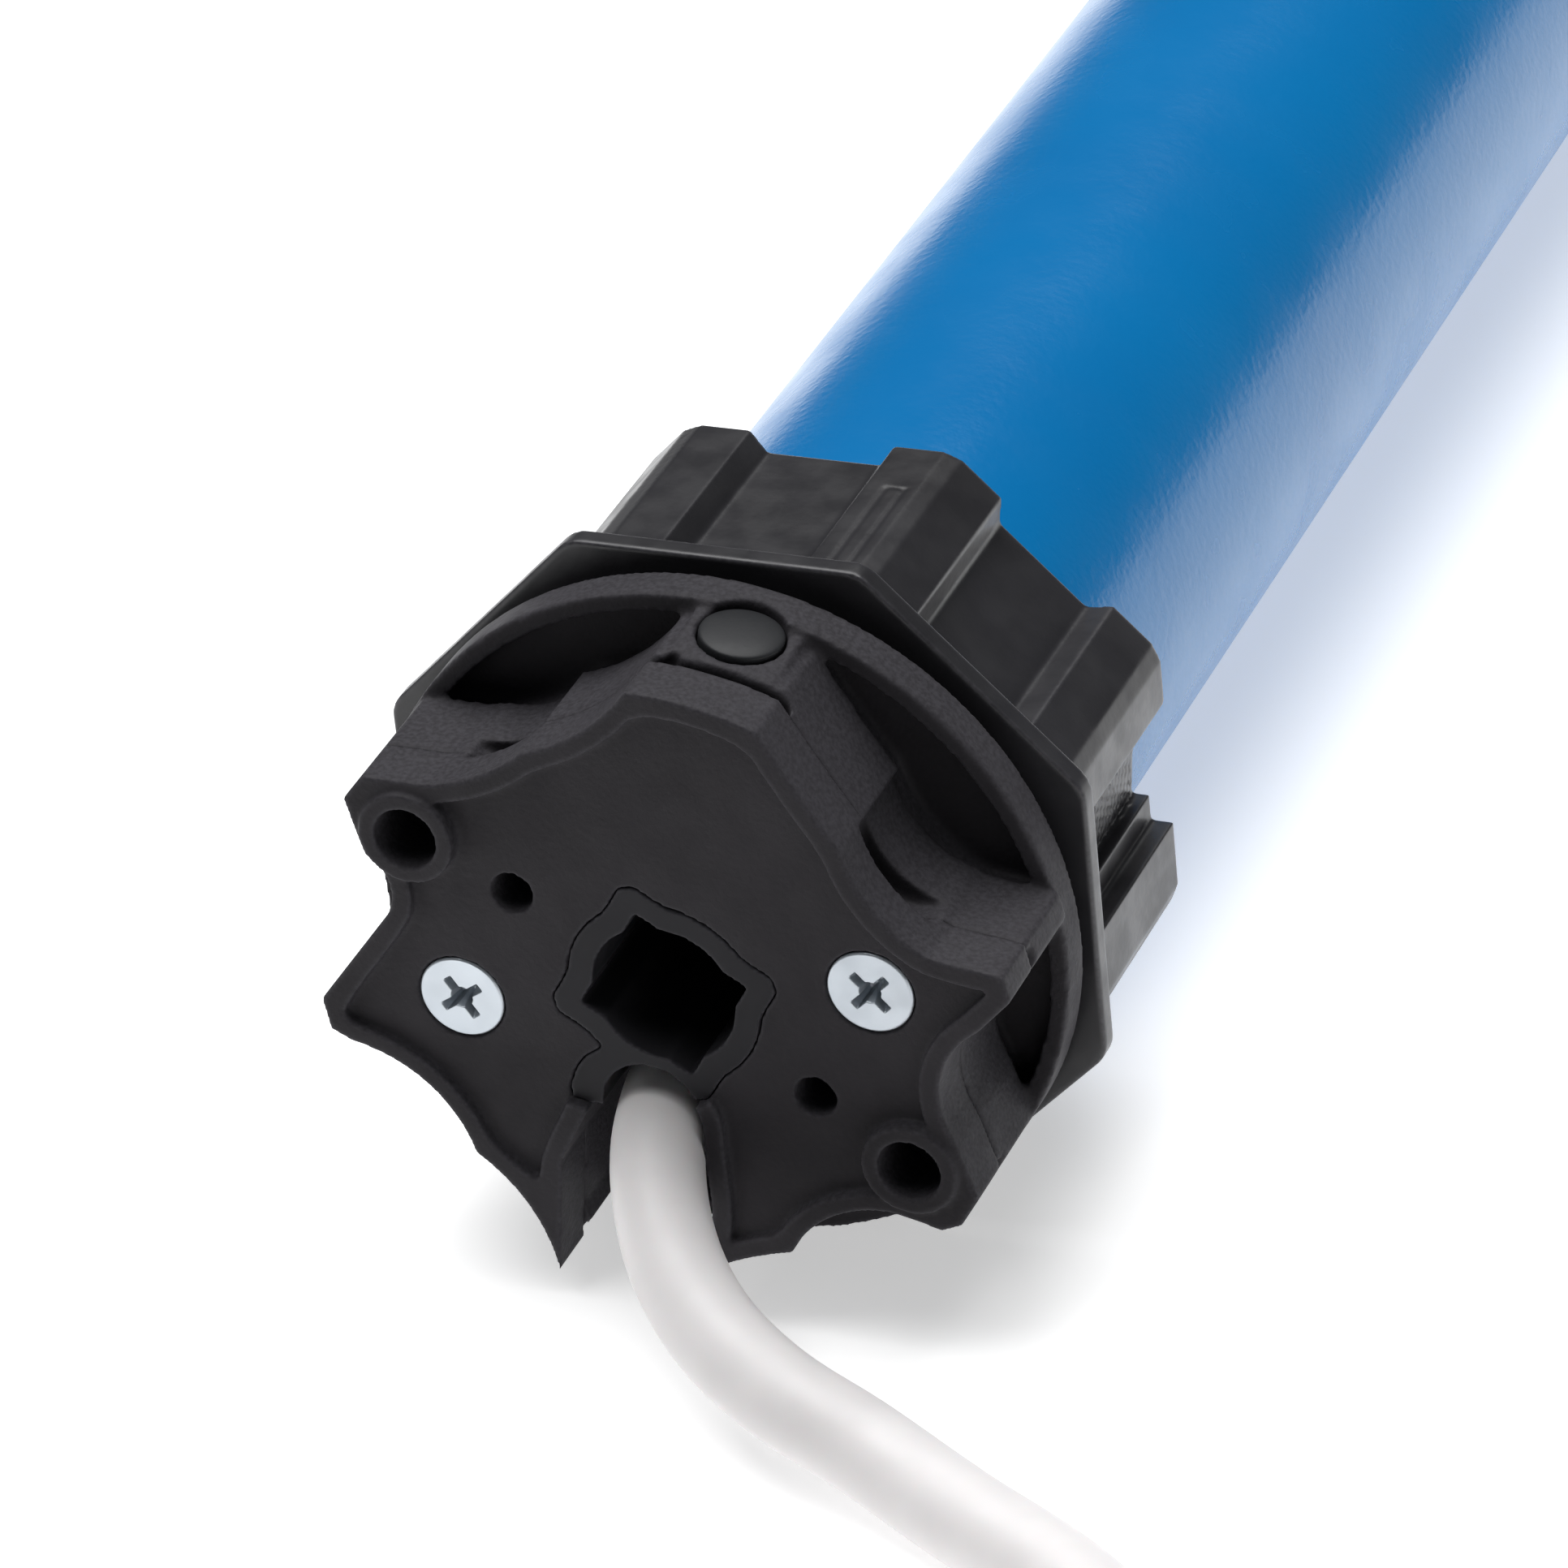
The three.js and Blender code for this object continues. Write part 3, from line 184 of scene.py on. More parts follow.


def surface(name, dark, light, roughness, grain=2500, relief=0.03, metallic=0.0, worn_and_lit_colour=None, stretch=(1, 1, 1),
            strength=0.6, patch=60, sheen=None, **constants):
    """A surface with mottled colour, uneven gloss and fine relief. Where a worn colour is given, it also has
    worn edges and painted light on the walls that are marked for it.
    grain and patch are in features per metre, and relief is in mm. sheen is its specular level on
    unpolished and on polished pieces."""
    material, nodes, links = new_material(name)
    shader = nodes["Principled BSDF"]
    shader.inputs["Metallic"].default_value = metallic
    for key, value in constants.items():
        shader.inputs[key.replace("_", " ")].default_value = value
    broad = noise(nodes, links, patch, 4.0)
    fine = noise(nodes, links, grain, 2.0, stretch)
    colour = ramp(nodes, links, broad, dark, light)
    # the given colour shows worn edges, and painted light on the walls
    if worn_and_lit_colour:
        wear_and_light = nodes.new("ShaderNodeAttribute")
        wear_and_light.attribute_name = "wear_and_wall_light"
        broken = nodes.new("ShaderNodeMath")
        broken.operation = "MULTIPLY"
        links.new(wear_and_light.outputs["Fac"], broken.inputs[0])
        links.new(ramp(nodes, links, noise(nodes, links, WEAR_GRAIN, 3.0), 0.3, 1.0), broken.inputs[1])
        mix = nodes.new("ShaderNodeMix")
        mix.data_type = "RGBA"
        links.new(broken.outputs["Value"], mix.inputs["Factor"])
        links.new(colour, mix.inputs["A"])
        mix.inputs["B"].default_value = (*worn_and_lit_colour, 1)
        colour = mix.outputs["Result"]
    links.new(colour, shader.inputs["Base Color"])
    if sheen:
        polished = nodes.new("ShaderNodeAttribute")
        polished.attribute_name = "polish"
        level = ramp(nodes, links, polished.outputs["Fac"], *sheen, 0, 1)
        links.new(level, shader.inputs["Specular IOR Level"])
    gloss = ramp(nodes, links, noise(nodes, links, patch * 5, 3.0), roughness[0], roughness[1])
    links.new(gloss, shader.inputs["Roughness"])
    links.new(add_bump(nodes, links, fine, strength, relief), shader.inputs["Normal"])
    return material


def make_materials():
    """One material for each of the record's slots."""
    # the paler colour of worn edges, and of the painted light on the walls of the head
    worn_and_lit_black = (0.055, 0.053, 0.06)
    return {
        "head_plastic": surface("head_plastic", (0.023, 0.0215, 0.024), (0.03, 0.028, 0.0315), (0.5, 0.62),
                                grain=2200, relief=0.09, worn_and_lit_colour=worn_and_lit_black, Specular_IOR_Level=0.08),
        "smooth_plastic": surface("smooth_plastic", (0.0165, 0.016, 0.018), (0.0225, 0.022, 0.025),
                                  (0.3, 0.42), grain=1700, relief=0.02, worn_and_lit_colour=worn_and_lit_black, sheen=(0.08, 0.42)),
        "blue_coat": surface("blue_coat", (0.0, 0.135, 0.36), (0.0, 0.148, 0.385), (0.22, 0.28), grain=1100,
                             relief=0.06, strength=0.6, patch=25, Specular_IOR_Level=0.42),
        "zinc": surface("zinc", (0.4, 0.44, 0.48), (0.5, 0.54, 0.58), (0.3, 0.45), grain=3000, relief=0.015,
                        metallic=0.75),
        "button": surface("button", (0.016, 0.0165, 0.018), (0.021, 0.022, 0.024), (0.4, 0.5), grain=3000,
                          relief=0.012, Specular_IOR_Level=0.2),
        "rubber": surface("rubber", (0.01, 0.01, 0.011), (0.016, 0.016, 0.017), (0.65, 0.8), grain=2000),
        "cable_sheath": surface("cable_sheath", (0.68, 0.66, 0.66), (0.74, 0.72, 0.72), (0.42, 0.52),
                                grain=900, relief=0.02, strength=0.35, patch=90, Subsurface_Weight=0.08,
                                Subsurface_Scale=0.002),
        "core_brown": surface("core_brown", (0.08, 0.028, 0.012), (0.12, 0.04, 0.018), (0.35, 0.45)),
        "core_blue": surface("core_blue", (0.01, 0.08, 0.38), (0.016, 0.11, 0.46), (0.35, 0.45)),
        "core_earth": striped("core_earth", (0.1, 0.33, 0.02), (0.8, 0.62, 0.03)),
        "grey_plastic": surface("grey_plastic", (0.24, 0.25, 0.26), (0.3, 0.31, 0.32), (0.45, 0.55)),
        "gear_plastic": surface("gear_plastic", (0.7, 0.68, 0.58), (0.8, 0.78, 0.68), (0.4, 0.5),
                                Subsurface_Weight=0.1, Subsurface_Scale=0.002),
        "board": surface("board", (0.01, 0.085, 0.035), (0.015, 0.115, 0.05), (0.35, 0.45), grain=1500),
        "relay": surface("relay", (0.012, 0.032, 0.1), (0.017, 0.042, 0.13), (0.25, 0.35), relief=0.01),
        "aluminium": surface("aluminium", (0.52, 0.54, 0.57), (0.64, 0.66, 0.69), (0.3, 0.42), metallic=1.0,
                             grain=1200, stretch=(1, 0.1, 1)),
        "lead": surface("lead", (0.015, 0.015, 0.015), (0.024, 0.024, 0.024), (0.5, 0.6)),
        "steel": surface("steel", (0.34, 0.35, 0.37), (0.44, 0.45, 0.47), (0.26, 0.38), metallic=1.0,
                         grain=1500, stretch=(1, 12, 1), relief=0.015),
        "laminations": surface("laminations", (0.08, 0.085, 0.095), (0.12, 0.125, 0.135), (0.45, 0.6),
                               metallic=0.9, grain=600, stretch=(0.02, 4, 0.02), relief=0.06),
        "copper": surface("copper", (0.38, 0.11, 0.035), (0.5, 0.17, 0.06), (0.28, 0.4), metallic=1.0,
                          grain=900, stretch=(3, 0.1, 3), relief=0.08),
        "bronze": surface("bronze", (0.34, 0.19, 0.045), (0.44, 0.26, 0.07), (0.38, 0.5), metallic=1.0),
    }


def striped(name, green, yellow):
    """Insulation with a lengthwise stripe that turns round the core."""
    material, nodes, links = new_material(name)
    place = nodes.new("ShaderNodeTexCoord")
    wave = nodes.new("ShaderNodeTexWave")
    wave.inputs["Scale"].default_value = 110
    wave.inputs["Distortion"].default_value = 0.4
    links.new(place.outputs["Object"], wave.inputs["Vector"])
    shader = nodes["Principled BSDF"]
    links.new(ramp(nodes, links, wave.outputs["Fac"], green, yellow, 0.48, 0.52), shader.inputs["Base Color"])
    links.new(ramp(nodes, links, noise(nodes, links, 400), 0.35, 0.45), shader.inputs["Roughness"])
    return material


# ---------------------------------------------------------------- points and outlines


def polar(r, angle):
    return Vector((r * math.cos(math.radians(angle)), r * math.sin(math.radians(angle))))


def arc(a, m, b, count=14):
    """Points on the arc from a to b through m, without b."""
    a, m, b = Vector(a), Vector(m), Vector(b)
    d = 2 * (a.x * (m.y - b.y) + m.x * (b.y - a.y) + b.x * (a.y - m.y))
    squares = [p.dot(p) for p in (a, m, b)]
    cx = (squares[0] * (m.y - b.y) + squares[1] * (b.y - a.y) + squares[2] * (a.y - m.y)) / d
    cy = (squares[0] * (b.x - m.x) + squares[1] * (a.x - b.x) + squares[2] * (m.x - a.x)) / d
    centre = Vector((cx, cy))
    radius = (a - centre).length
    start, middle, end = (math.atan2(p.y - cy, p.x - cx) for p in (a, m, b))
    sweep = (end - start) % math.tau
    if (middle - start) % math.tau > sweep:
        sweep -= math.tau
    angles = [start + sweep * i / count for i in range(count)]
    return [centre + radius * Vector((math.cos(t), math.sin(t))) for t in angles]


def inset(outline, distance):
    """An anticlockwise outline moved inwards, with sharp corners held back."""
    moved = []
    for i, p in enumerate(outline):
        before = (p - outline[i - 1]).normalized()
        after = (outline[(i + 1) % len(outline)] - p).normalized()
        inward = Vector((-before.y - after.y, before.x + after.x)).normalized()
        cosine = max(0.4, before.x * inward.y - before.y * inward.x)
        moved.append(p + inward * distance / cosine)
    return moved


def softened(outline, rounds=2):
    """An outline with its corners cut again and again, which leaves them round."""
    for _ in range(rounds):
        ends = zip(outline, outline[1:] + outline[:1])
        outline = [p.lerp(q, t) for p, q in ends for t in (0.25, 0.75)]
    return outline


# Where the lug's flanks meet the walls at both sides, and the middle of each wall.
LEFT_CORNER, RIGHT_CORNER = Vector((-13.8, 19.5)), Vector((13.6, 19.5))
UPPER_WALL_LEFT, UPPER_WALL_RIGHT = Vector((-17.1, 16.2)), Vector((17.0, 14.8))
CABLE_CENTRE = Vector((0, -CABLE_DROP))

boss_centre = polar(BOSS["r"], BOSS["angle"])
screw_centre = polar(SCREW["r"], SCREW["angle"])
small_hole_centre = polar(SMALL_HOLE["r"], SMALL_HOLE["angle"])


def star_outline(blunted=False, fine=3):
    """The star, anticlockwise from the lug. Blunted, it leaves out the spike beside the slot."""
    lug_left = polar(LUG["front"], 90 + LUG["half"])
    lug_right = polar(LUG["front"], 90 - LUG["half"])
    boss_left = [(-21.8, 13.7), (-27.1, 12.7), (-28.5, 10.0), (-26.3, 5.3)]
    boss_right = [(21.8, -13.5), (26.0, -13.7), (27.5, -12.6), (28.6, -9.6), (26.3, -5.3)]
    left_neck, right_neck = Vector((-24.6, 4.2)), Vector((25.2, -3.6))
    left_tip, left_tip_back = Vector((-29.0, -10.3)), Vector((-28.0, -13.0))
    tip, tip_back = Vector((29.0, 10.3)), Vector((28.1, 12.5))
    foot, heel = Vector((13.6, -20.7)), Vector((6.6, -25.2))
    spike = Vector((-6.9, -22.9)) if blunted else Vector((-6.1, -30.2))
    cusp = Vector((-14.4, -20.8))
    arch_left, arch_right = Vector((-5.0, -12.6)), Vector((5.0, -12.6))
    beside_slot = [cusp, Vector((-9.6, -23.4))] if blunted else arc(cusp, (-9.7, -24.1), spike, 3 * fine)
    return [
        *arc(lug_left, (-9.1, 23.1), LEFT_CORNER, 3 * fine),
        *arc(LEFT_CORNER, UPPER_WALL_LEFT, boss_left[0], 5 * fine),
        *map(Vector, boss_left),
        *arc(left_neck, (-23.7, 2.2), (-23.8, 0.2), 3 * fine),
        Vector((-23.8, 0.2)),
        left_tip,
        left_tip_back,
        *arc((-26.0, -13.6), (-18.6, -15.8), cusp, 4 * fine),
        *beside_slot,
        spike,
        Vector((-6.9, -18.8)),
        *arc(arch_left, (0, -7.4), arch_right, 8 * fine),
        arch_right,
        Vector((6.4, -18.8)),
        *arc(heel, (10.4, -22.4), foot, 3 * fine),
        *arc(foot, (15.5, -17.0), boss_right[0], 4 * fine),
        *map(Vector, boss_right),
        *arc(right_neck, (24.1, 0.5), (26.6, 6.4), 5 * fine),
        Vector((26.6, 6.4)),
        tip,
        tip_back,
        *arc((22.0, 12.1), UPPER_WALL_RIGHT, RIGHT_CORNER, 5 * fine),
        *arc(RIGHT_CORNER, (9.4, 23.9), lug_right, 3 * fine),
        *arc(lug_right, polar(LUG["front"], 90), lug_left, 2 * fine),
    ]


def socket_outline(grow):
    """A round hole with four square corners."""
    r = SOCKET["r"] + grow
    corner = SOCKET["corner"] + grow * math.sqrt(2)
    reach = math.degrees(math.acos(min(1, corner / math.sqrt(2) / r)))
    outline = []
    for k in range(4):
        angle = SOCKET["turn"] + 90 * k
        outline.append(polar(corner, angle))
        outline += [polar(r, angle + 45 + reach * t / 4) for t in range(-4, 5)]
    return outline


def insert_outline(grow):
    return softened(socket_outline(INSERT["wall"] + grow), 1)


def hook_outline(grow):
    """The insert's hook, which arches over the left of the cable."""
    outer = HOOK["reach"] + grow
    end = -CABLE_DROP - HOOK["drop"] - grow
    return [
        Vector((-4.3 + grow, -5.2)),
        *arc((-4.9 - grow, -7.2), (-outer, -10.4), (-outer, end)),
        Vector((-outer, end)),
        Vector((-4.4, end)),
        CABLE_CENTRE,
    ]


def padded_octagon(pads, recess):
    """An octagon with level flats, raised pads at its corners and a shallow recess along each flat."""
    high, low = pads / 2, recess / 2
    pad_end = high * math.tan(math.radians(22.5)) - PAD["bevel"]
    floor_end = PAD["start"] - PAD["slope"]
    side = [(high, -pad_end), (high, -PAD["start"]), (low, -floor_end),
            (low, floor_end), (high, PAD["start"]), (high, pad_end)]
    return [Matrix.Rotation(math.radians(45 * k), 2) @ Vector(p) for k in range(8) for p in side]


# ---------------------------------------------------------------- solids


def mesh_object(name, points, faces):
    mesh = bpy.data.meshes.new(name)
    mesh.from_pydata([tuple(p) for p in points], [], faces)
    work = bmesh.new()
    work.from_mesh(mesh)
    bmesh.ops.remove_doubles(work, verts=work.verts, dist=1e-5)
    bmesh.ops.recalc_face_normals(work, faces=work.faces)
    work.to_mesh(mesh)
    work.free()
    made = bpy.data.objects.new(name, mesh)
    bpy.context.scene.collection.objects.link(made)
    return made


def prism(outline, y0, y1, shrink=1):
    """The outline drawn out along the axis, to an end that is smaller by the factor shrink."""
    count = len(outline)
    points = [(p.x * size, y, p.y * size) for y, size in ((y0, 1), (y1, shrink)) for p in outline]
    sides = [(i, (i + 1) % count, count + (i + 1) % count, count + i) for i in range(count)]
    return mesh_object("prism", points, [tuple(range(count)), tuple(range(count, 2 * count)), *sides])


def turned(profile, segments=96):
    """A solid of revolution about the axis, from a closed profile of (radius, y)."""
    count = len(profile)
    angles = [math.tau * i / segments for i in range(segments)]
    points = [(r * math.cos(t), y, r * math.sin(t)) for t in angles for r, y in profile]
    faces = []
    for i in range(segments):
        here, there = i * count, (i + 1) % segments * count
        for j in range(count):
            after = (j + 1) % count
            if profile[j][0] > 0 or profile[after][0] > 0:
                faces.append((here + j, here + after, there + after, there + j))
    return mesh_object("turned", points, faces)


def rod(r, y0, y1, at=(0, 0), segments=48):
    outline = [Vector(at) + polar(r, 360 * i / segments) for i in range(segments)]
    return prism(outline, y0, y1)


def block(x, y, z):
    corners = [Vector((x[0], z[0])), Vector((x[1], z[0])), Vector((x[1], z[1])), Vector((x[0], z[1]))]
    return prism(corners, *y)


def both_ways(half, middle=0):
    """The span that reaches as far as half to both sides of middle."""
    return middle - half, middle + half


def spun(body, angle):
    """The same solid, turned about the axis, clockwise seen from the front."""
    body.data.transform(Matrix.Rotation(math.radians(angle), 4, "Y"))
    return body


def shifted(body, at):
    """The same solid, moved across the axis."""
    body.data.transform(Matrix.Translation((at.x, 0, at.y)))
    return body


def pair(at, r, y0, y1):
    return [rod(r, y0, y1, at), rod(r, y0, y1, -at)]


def settle(body):
    """Applies a solid's modifiers."""
    bpy.context.view_layer.update()
    graph = bpy.context.evaluated_depsgraph_get()
    mesh = bpy.data.meshes.new_from_object(body.evaluated_get(graph))
    body.modifiers.clear()
    body.data = mesh
    return body


def combine(operation, body, tools):
    for tool in tools:
        boolean = body.modifiers.new(operation, "BOOLEAN")
        boolean.operation = operation
        boolean.solver = "MANIFOLD"
        boolean.object = tool
    settle(body)
    for tool in tools:
        bpy.data.objects.remove(tool)
    return body


def join(body, *tools):
    return combine("UNION", body, tools)


def cut(body, *tools):
    return combine("DIFFERENCE", body, tools)


def common(body, *tools):
    return combine("INTERSECT", body, tools)


WEAR_FROM, WEAR_RANGE = 0.03, 0.12  # how convex a point has to be, in mean edge lengths


def mark_wear(mesh, spread=3):
    """Stores how far each point stands out from its neighbours, for the worn edges."""
    count = len(mesh.vertices)
    points = np.empty(count * 3)
    normals = np.empty(count * 3)
    ends = np.empty(len(mesh.edges) * 2, dtype=np.int64)
    mesh.vertices.foreach_get("co", points)
    mesh.vertices.foreach_get("normal", normals)
    mesh.edges.foreach_get("vertices", ends)
    points, normals, ends = points.reshape(-1, 3), normals.reshape(-1, 3), ends.reshape(-1, 2)
    degree = np.maximum(np.bincount(ends.ravel(), minlength=count), 1)

    def around(values):
        total = np.zeros_like(values)
        np.add.at(total, ends[:, 0], values[ends[:, 1]])
        np.add.at(total, ends[:, 1], values[ends[:, 0]])
        return (total.T / degree).T

    step = np.linalg.norm(points[ends[:, 0]] - points[ends[:, 1]], axis=1).mean()
    convex = np.einsum("ij,ij->i", points - around(points), normals) / step
    for _ in range(spread):
        convex = (convex + around(convex)) / 2
    wear_and_wall_light = np.clip((convex - WEAR_FROM) / WEAR_RANGE, 0, 1)
    mesh.attributes.new("wear_and_wall_light", "FLOAT", "POINT").data.foreach_set("value", wear_and_wall_light)


def paint_wall_light(piece, amount=0.7):
    """Paints light onto the walls of a piece, which face away from the motor's axis. It gives them the paler
    worn colour as painted light, which stands for the light that falls on them more than on the front face.
    """
    mesh = piece.data
    count = len(mesh.vertices)
    wear_and_wall_light, normals = np.empty(count), np.empty(count * 3)
    mesh.attributes["wear_and_wall_light"].data.foreach_get("value", wear_and_wall_light)
    mesh.vertices.foreach_get("normal", normals)
    # painted light: the less a point faces along the axis, the more of the paler colour it gets
    lit_walls = amount * (1 - np.abs(normals.reshape(-1, 3)[:, 1]))
    mesh.attributes["wear_and_wall_light"].data.foreach_set("value", np.maximum(wear_and_wall_light, lit_walls))
    return piece


def polish(piece):
    """Marks a piece that came out of a polished mould."""
    mesh = piece.data
    mesh.attributes.new("polish", "FLOAT", "POINT").data.foreach_set("value", np.ones(len(mesh.vertices)))
    return piece


def moulded(name, body, cell, turn=0, rounds=4):
    """The solid with the small fillets of a moulded or pressed piece, in the row frame."""
    skin = body.modifiers.new("skin", "REMESH")
    skin.mode = "VOXEL"
    skin.voxel_size = cell * 1
    soften = body.modifiers.new("soften", "SMOOTH")
    soften.factor = 0.5
    soften.iterations = rounds
    settle(body)
    return finished(name, body, turn)


def finished(name, body, turn=0):
    body.data.transform(to_row(turn))
    body.data.shade_smooth()
    mark_wear(body.data)
    body.name = name
    body.data.name = name
    return body


def stand_for(piece, body, slot, *nodes):
    """The piece rides on its body and replaces its CAD nodes, in the material of its slot."""
    piece.data.materials.clear()
    piece.data.materials.append(materials[slot])
    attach(piece, body)
    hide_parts(*nodes)


# ---------------------------------------------------------------- cable

# The stretch of the cable that isn't coiled, from its end in the gland to the coil.
CABLE_ROUTE = [
    (-2.3, CABLE_END, -11.4),
    (-2.3, 27, -11.4),
    (-2.3, 20, -11.4),
    (-2.4, 13, -11.4),
    (-2.7, 6, -12.6),
    (-1.7, -0.6, -14.4),
    (0.8, -6.5, -16.6),
    (4.4, -11.8, -18.7),
    (9, -16, -20.8),
    (15.2, -19.3, -22.9),
    (23.1, -21.9, -24.8),
    (33.1, -26.6, -26.3),
    (45.8, -33.7, GROUND + CABLE_R),
    (61, -47.3, GROUND + CABLE_R),
    (76, -75, GROUND + CABLE_R),
]
COIL_CROSSING = 0.4                 # share of each turn in which the cable steps to the next one
SHEATH_TURNS = 6.25
CORE = {"r": 1.1, "first": 52.2, "pitch": 2.5, "end": -150, "stagger": 4}


def ease(t):
    t = min(1, max(0, t))
    return t * t * (3 - 2 * t)


def coil_point(turns):
    """A point on the coil's centreline. The lower layer is wound inwards, the upper one outwards."""
    pitch = 2 * CABLE_R
    whole = math.floor(turns)
    step = ease((turns - whole - 1 + COIL_CROSSING) / COIL_CROSSING)
    lower_last = COIL["turns"] - 1
    if whole < lower_last:
        lane = lower_last - whole - step
        level = 0
    elif whole == lower_last:
        lane = 0
        level = ease((turns - whole - 0.3) / 0.7)
    else:
        lane = min(COIL["upper"], whole - COIL["turns"] + step)
        level = 1
    r = COIL["inner"] + pitch * lane
    angle = -math.tau * turns
    return Vector((COIL["x"] + r * math.cos(angle), COIL["y"] + r * math.sin(angle),
                   GROUND + CABLE_R + pitch * level))


def smooth_line(points, steps):
    """A centripetal Catmull-Rom curve through the points."""
    points = [2 * points[0] - points[1], *points, 2 * points[-1] - points[-2]]
    line = []
    for p0, p1, p2, p3 in zip(points, points[1:], points[2:], points[3:]):
        t1 = math.sqrt((p1 - p0).length)
        t2 = t1 + math.sqrt((p2 - p1).length)
        t3 = t2 + math.sqrt((p3 - p2).length)
        for i in range(steps):
            t = t1 + (t2 - t1) * i / steps
            a1 = p0.lerp(p1, t / t1)
            a2 = p1.lerp(p2, (t - t1) / (t2 - t1))
            a3 = p2.lerp(p3, (t - t2) / (t3 - t2))
            b1 = a1.lerp(a2, t / t2)
            b2 = a2.lerp(a3, (t - t1) / (t3 - t1))
            line.append(b1.lerp(b2, (t - t1) / (t2 - t1)))
    return [*line, points[-2]]


def swept(name, line, radius, sides=40, end_fillet=0.35):
    """A round cable along a line, with a small fillet at both ends."""
    points, rings = [], []
    tangent = (line[1] - line[0]).normalized()
    side = tangent.orthogonal().normalized()
    last = len(line) - 1
    for i, centre in enumerate(line):
        ahead = (line[min(last, i + 1)] - line[max(0, i - 1)]).normalized()
        side = (side - ahead * side.dot(ahead)).normalized()
        across = ahead.cross(side)
        r = radius - end_fillet if i in (0, last) else radius
        rings.append(range(i * sides, (i + 1) * sides))
        turns = [math.tau * k / sides for k in range(sides)]
        points += [centre + r * (side * math.cos(t) + across * math.sin(t)) for t in turns]
    faces = [tuple(rings[0]), tuple(rings[-1])]
    for a, b in zip(rings, rings[1:]):
        faces += [(a[k], a[(k + 1) % sides], b[(k + 1) % sides], b[k]) for k in range(sides)]
    return finished(name, mesh_object(name, points, faces))


def make_cores():
    """The three stripped cores, which come out of the sheath and rest on the coil's outer turn."""
    cores = []
    sheath_end = coil_point(SHEATH_TURNS)
    ahead = (sheath_end - coil_point(SHEATH_TURNS - 0.01)).normalized()
    outward = Vector((sheath_end.x - COIL["x"], sheath_end.y - COIL["y"], 0)).normalized()
    rest = GROUND + 2 * CABLE_R + GAP + CORE["r"]
    for lane, colour in enumerate(("brown", "blue", "earth")):
        r = CORE["first"] + CORE["pitch"] * lane
        end = CORE["end"] + CORE["stagger"] * lane
        start = sheath_end + outward * (lane - 1) * CORE["pitch"] - ahead * 3
        route = [start, start + ahead * 3.4]
        for t in (0.35, 0.5, 0.65, 0.8, 0.9, 1):
            angle = math.radians(-90 + (end + 90) * t)
            lift = (sheath_end.z - rest) * (1 - ease((t - 0.1) / 0.4))
            across, along = r * math.cos(angle), r * math.sin(angle)
            route.append(Vector((COIL["x"] + across, COIL["y"] + along, rest + lift)))
        core = swept(f"core_{colour}", smooth_line(route, 8), CORE["r"], 20, 0.15)
        stand_for(core, "root", f"core_{colour}", f"cable_core_{colour}")
        cores.append(core)
    return cores


def make_cable():
    points_per_turn = 24
    coil = [coil_point(i / points_per_turn) for i in range(int(SHEATH_TURNS * points_per_turn) + 1)]
    line = smooth_line([Vector(p) for p in CABLE_ROUTE] + coil, 6)
    cable = swept("supply_cable", line, CABLE_R)
    stand_for(cable, "root", "cable_sheath", "cable_lead", "cable_coil")
    make_cores()


# ---------------------------------------------------------------- head


def channel(y0, y1):
    """The cable's round channel."""
    return rod(CABLE_R + GAP, y0, y1, CABLE_CENTRE)


def way_out(y0, y1):
    """The open side of the channel."""
    return block(both_ways(WAY_OUT["half"]), (y0, y1), WAY_OUT["z"])


def make_head_cover():
    """The front face, with its lip, its two bosses and the seats of its screws."""
    inside = softened(inset(star_outline(blunted=True, fine=1), LIP["width"]), 2)
    lip = cut(prism(star_outline(), -LIP["height"], OVERLAP), prism(inside, -5, 1))
    bosses = pair(boss_centre, BOSS["ring"], -BOSS["height"], OVERLAP)
    spigot = rod(SPIGOT_R, COVER_BACK - OVERLAP, COVER_BACK + 0.6)
    cover = join(prism(star_outline(), 0, COVER_BACK), lip, spigot, *bosses)
    rim, shank = SCREW["head"] + SCREW["room"], SCREW["shank"] + SCREW["shank_room"]
    seat = [(0, -5), (rim, -5), (rim, SCREW["rim"]), (shank, SCREW["rim"] + SCREW["sink"]),
            (shank, 9), (0, 9)]
    seats = [shifted(turned(seat, 48), side * screw_centre) for side in (1, -1)]
    cut(cover, prism(insert_outline(SEAM), *THROUGH), prism(hook_outline(SEAM), *THROUGH), channel(*THROUGH),
        way_out(*THROUGH), *crescent_pockets(), *pair(boss_centre, BOSS["hole"], *THROUGH),
        *pair(small_hole_centre, SMALL_HOLE["hole"], *THROUGH), *seats)
    # The walls get painted light, a paler colour than the front face.
    cover = paint_wall_light(moulded("cover", cover, CELL["cover"], HEAD_TURN))
    stand_for(cover, "root", "head_plastic", "head_cover")


# The walls at both sides of the lug: corner at the lug, middle, other end, and a point outside the star.
LUG_WALLS = (
    (LEFT_CORNER, UPPER_WALL_LEFT, Vector((-20.2, 14.5)), Vector((-21, 20))),
    (RIGHT_CORNER, UPPER_WALL_RIGHT, Vector((20.8, 12.5)), Vector((20.5, 18))),
)


def shortened(point, distance):
    """A point moved towards the motor's axis."""
    return point * (1 - distance / point.length)


def crescent_pockets():
    """Cutters for the thin crescent pockets in the walls beside the lug."""
    return [prism([*arc(end, shortened(middle, POCKET["depth"]), corner), corner, outside], *POCKET["y"])
            for corner, middle, end, outside in LUG_WALLS]


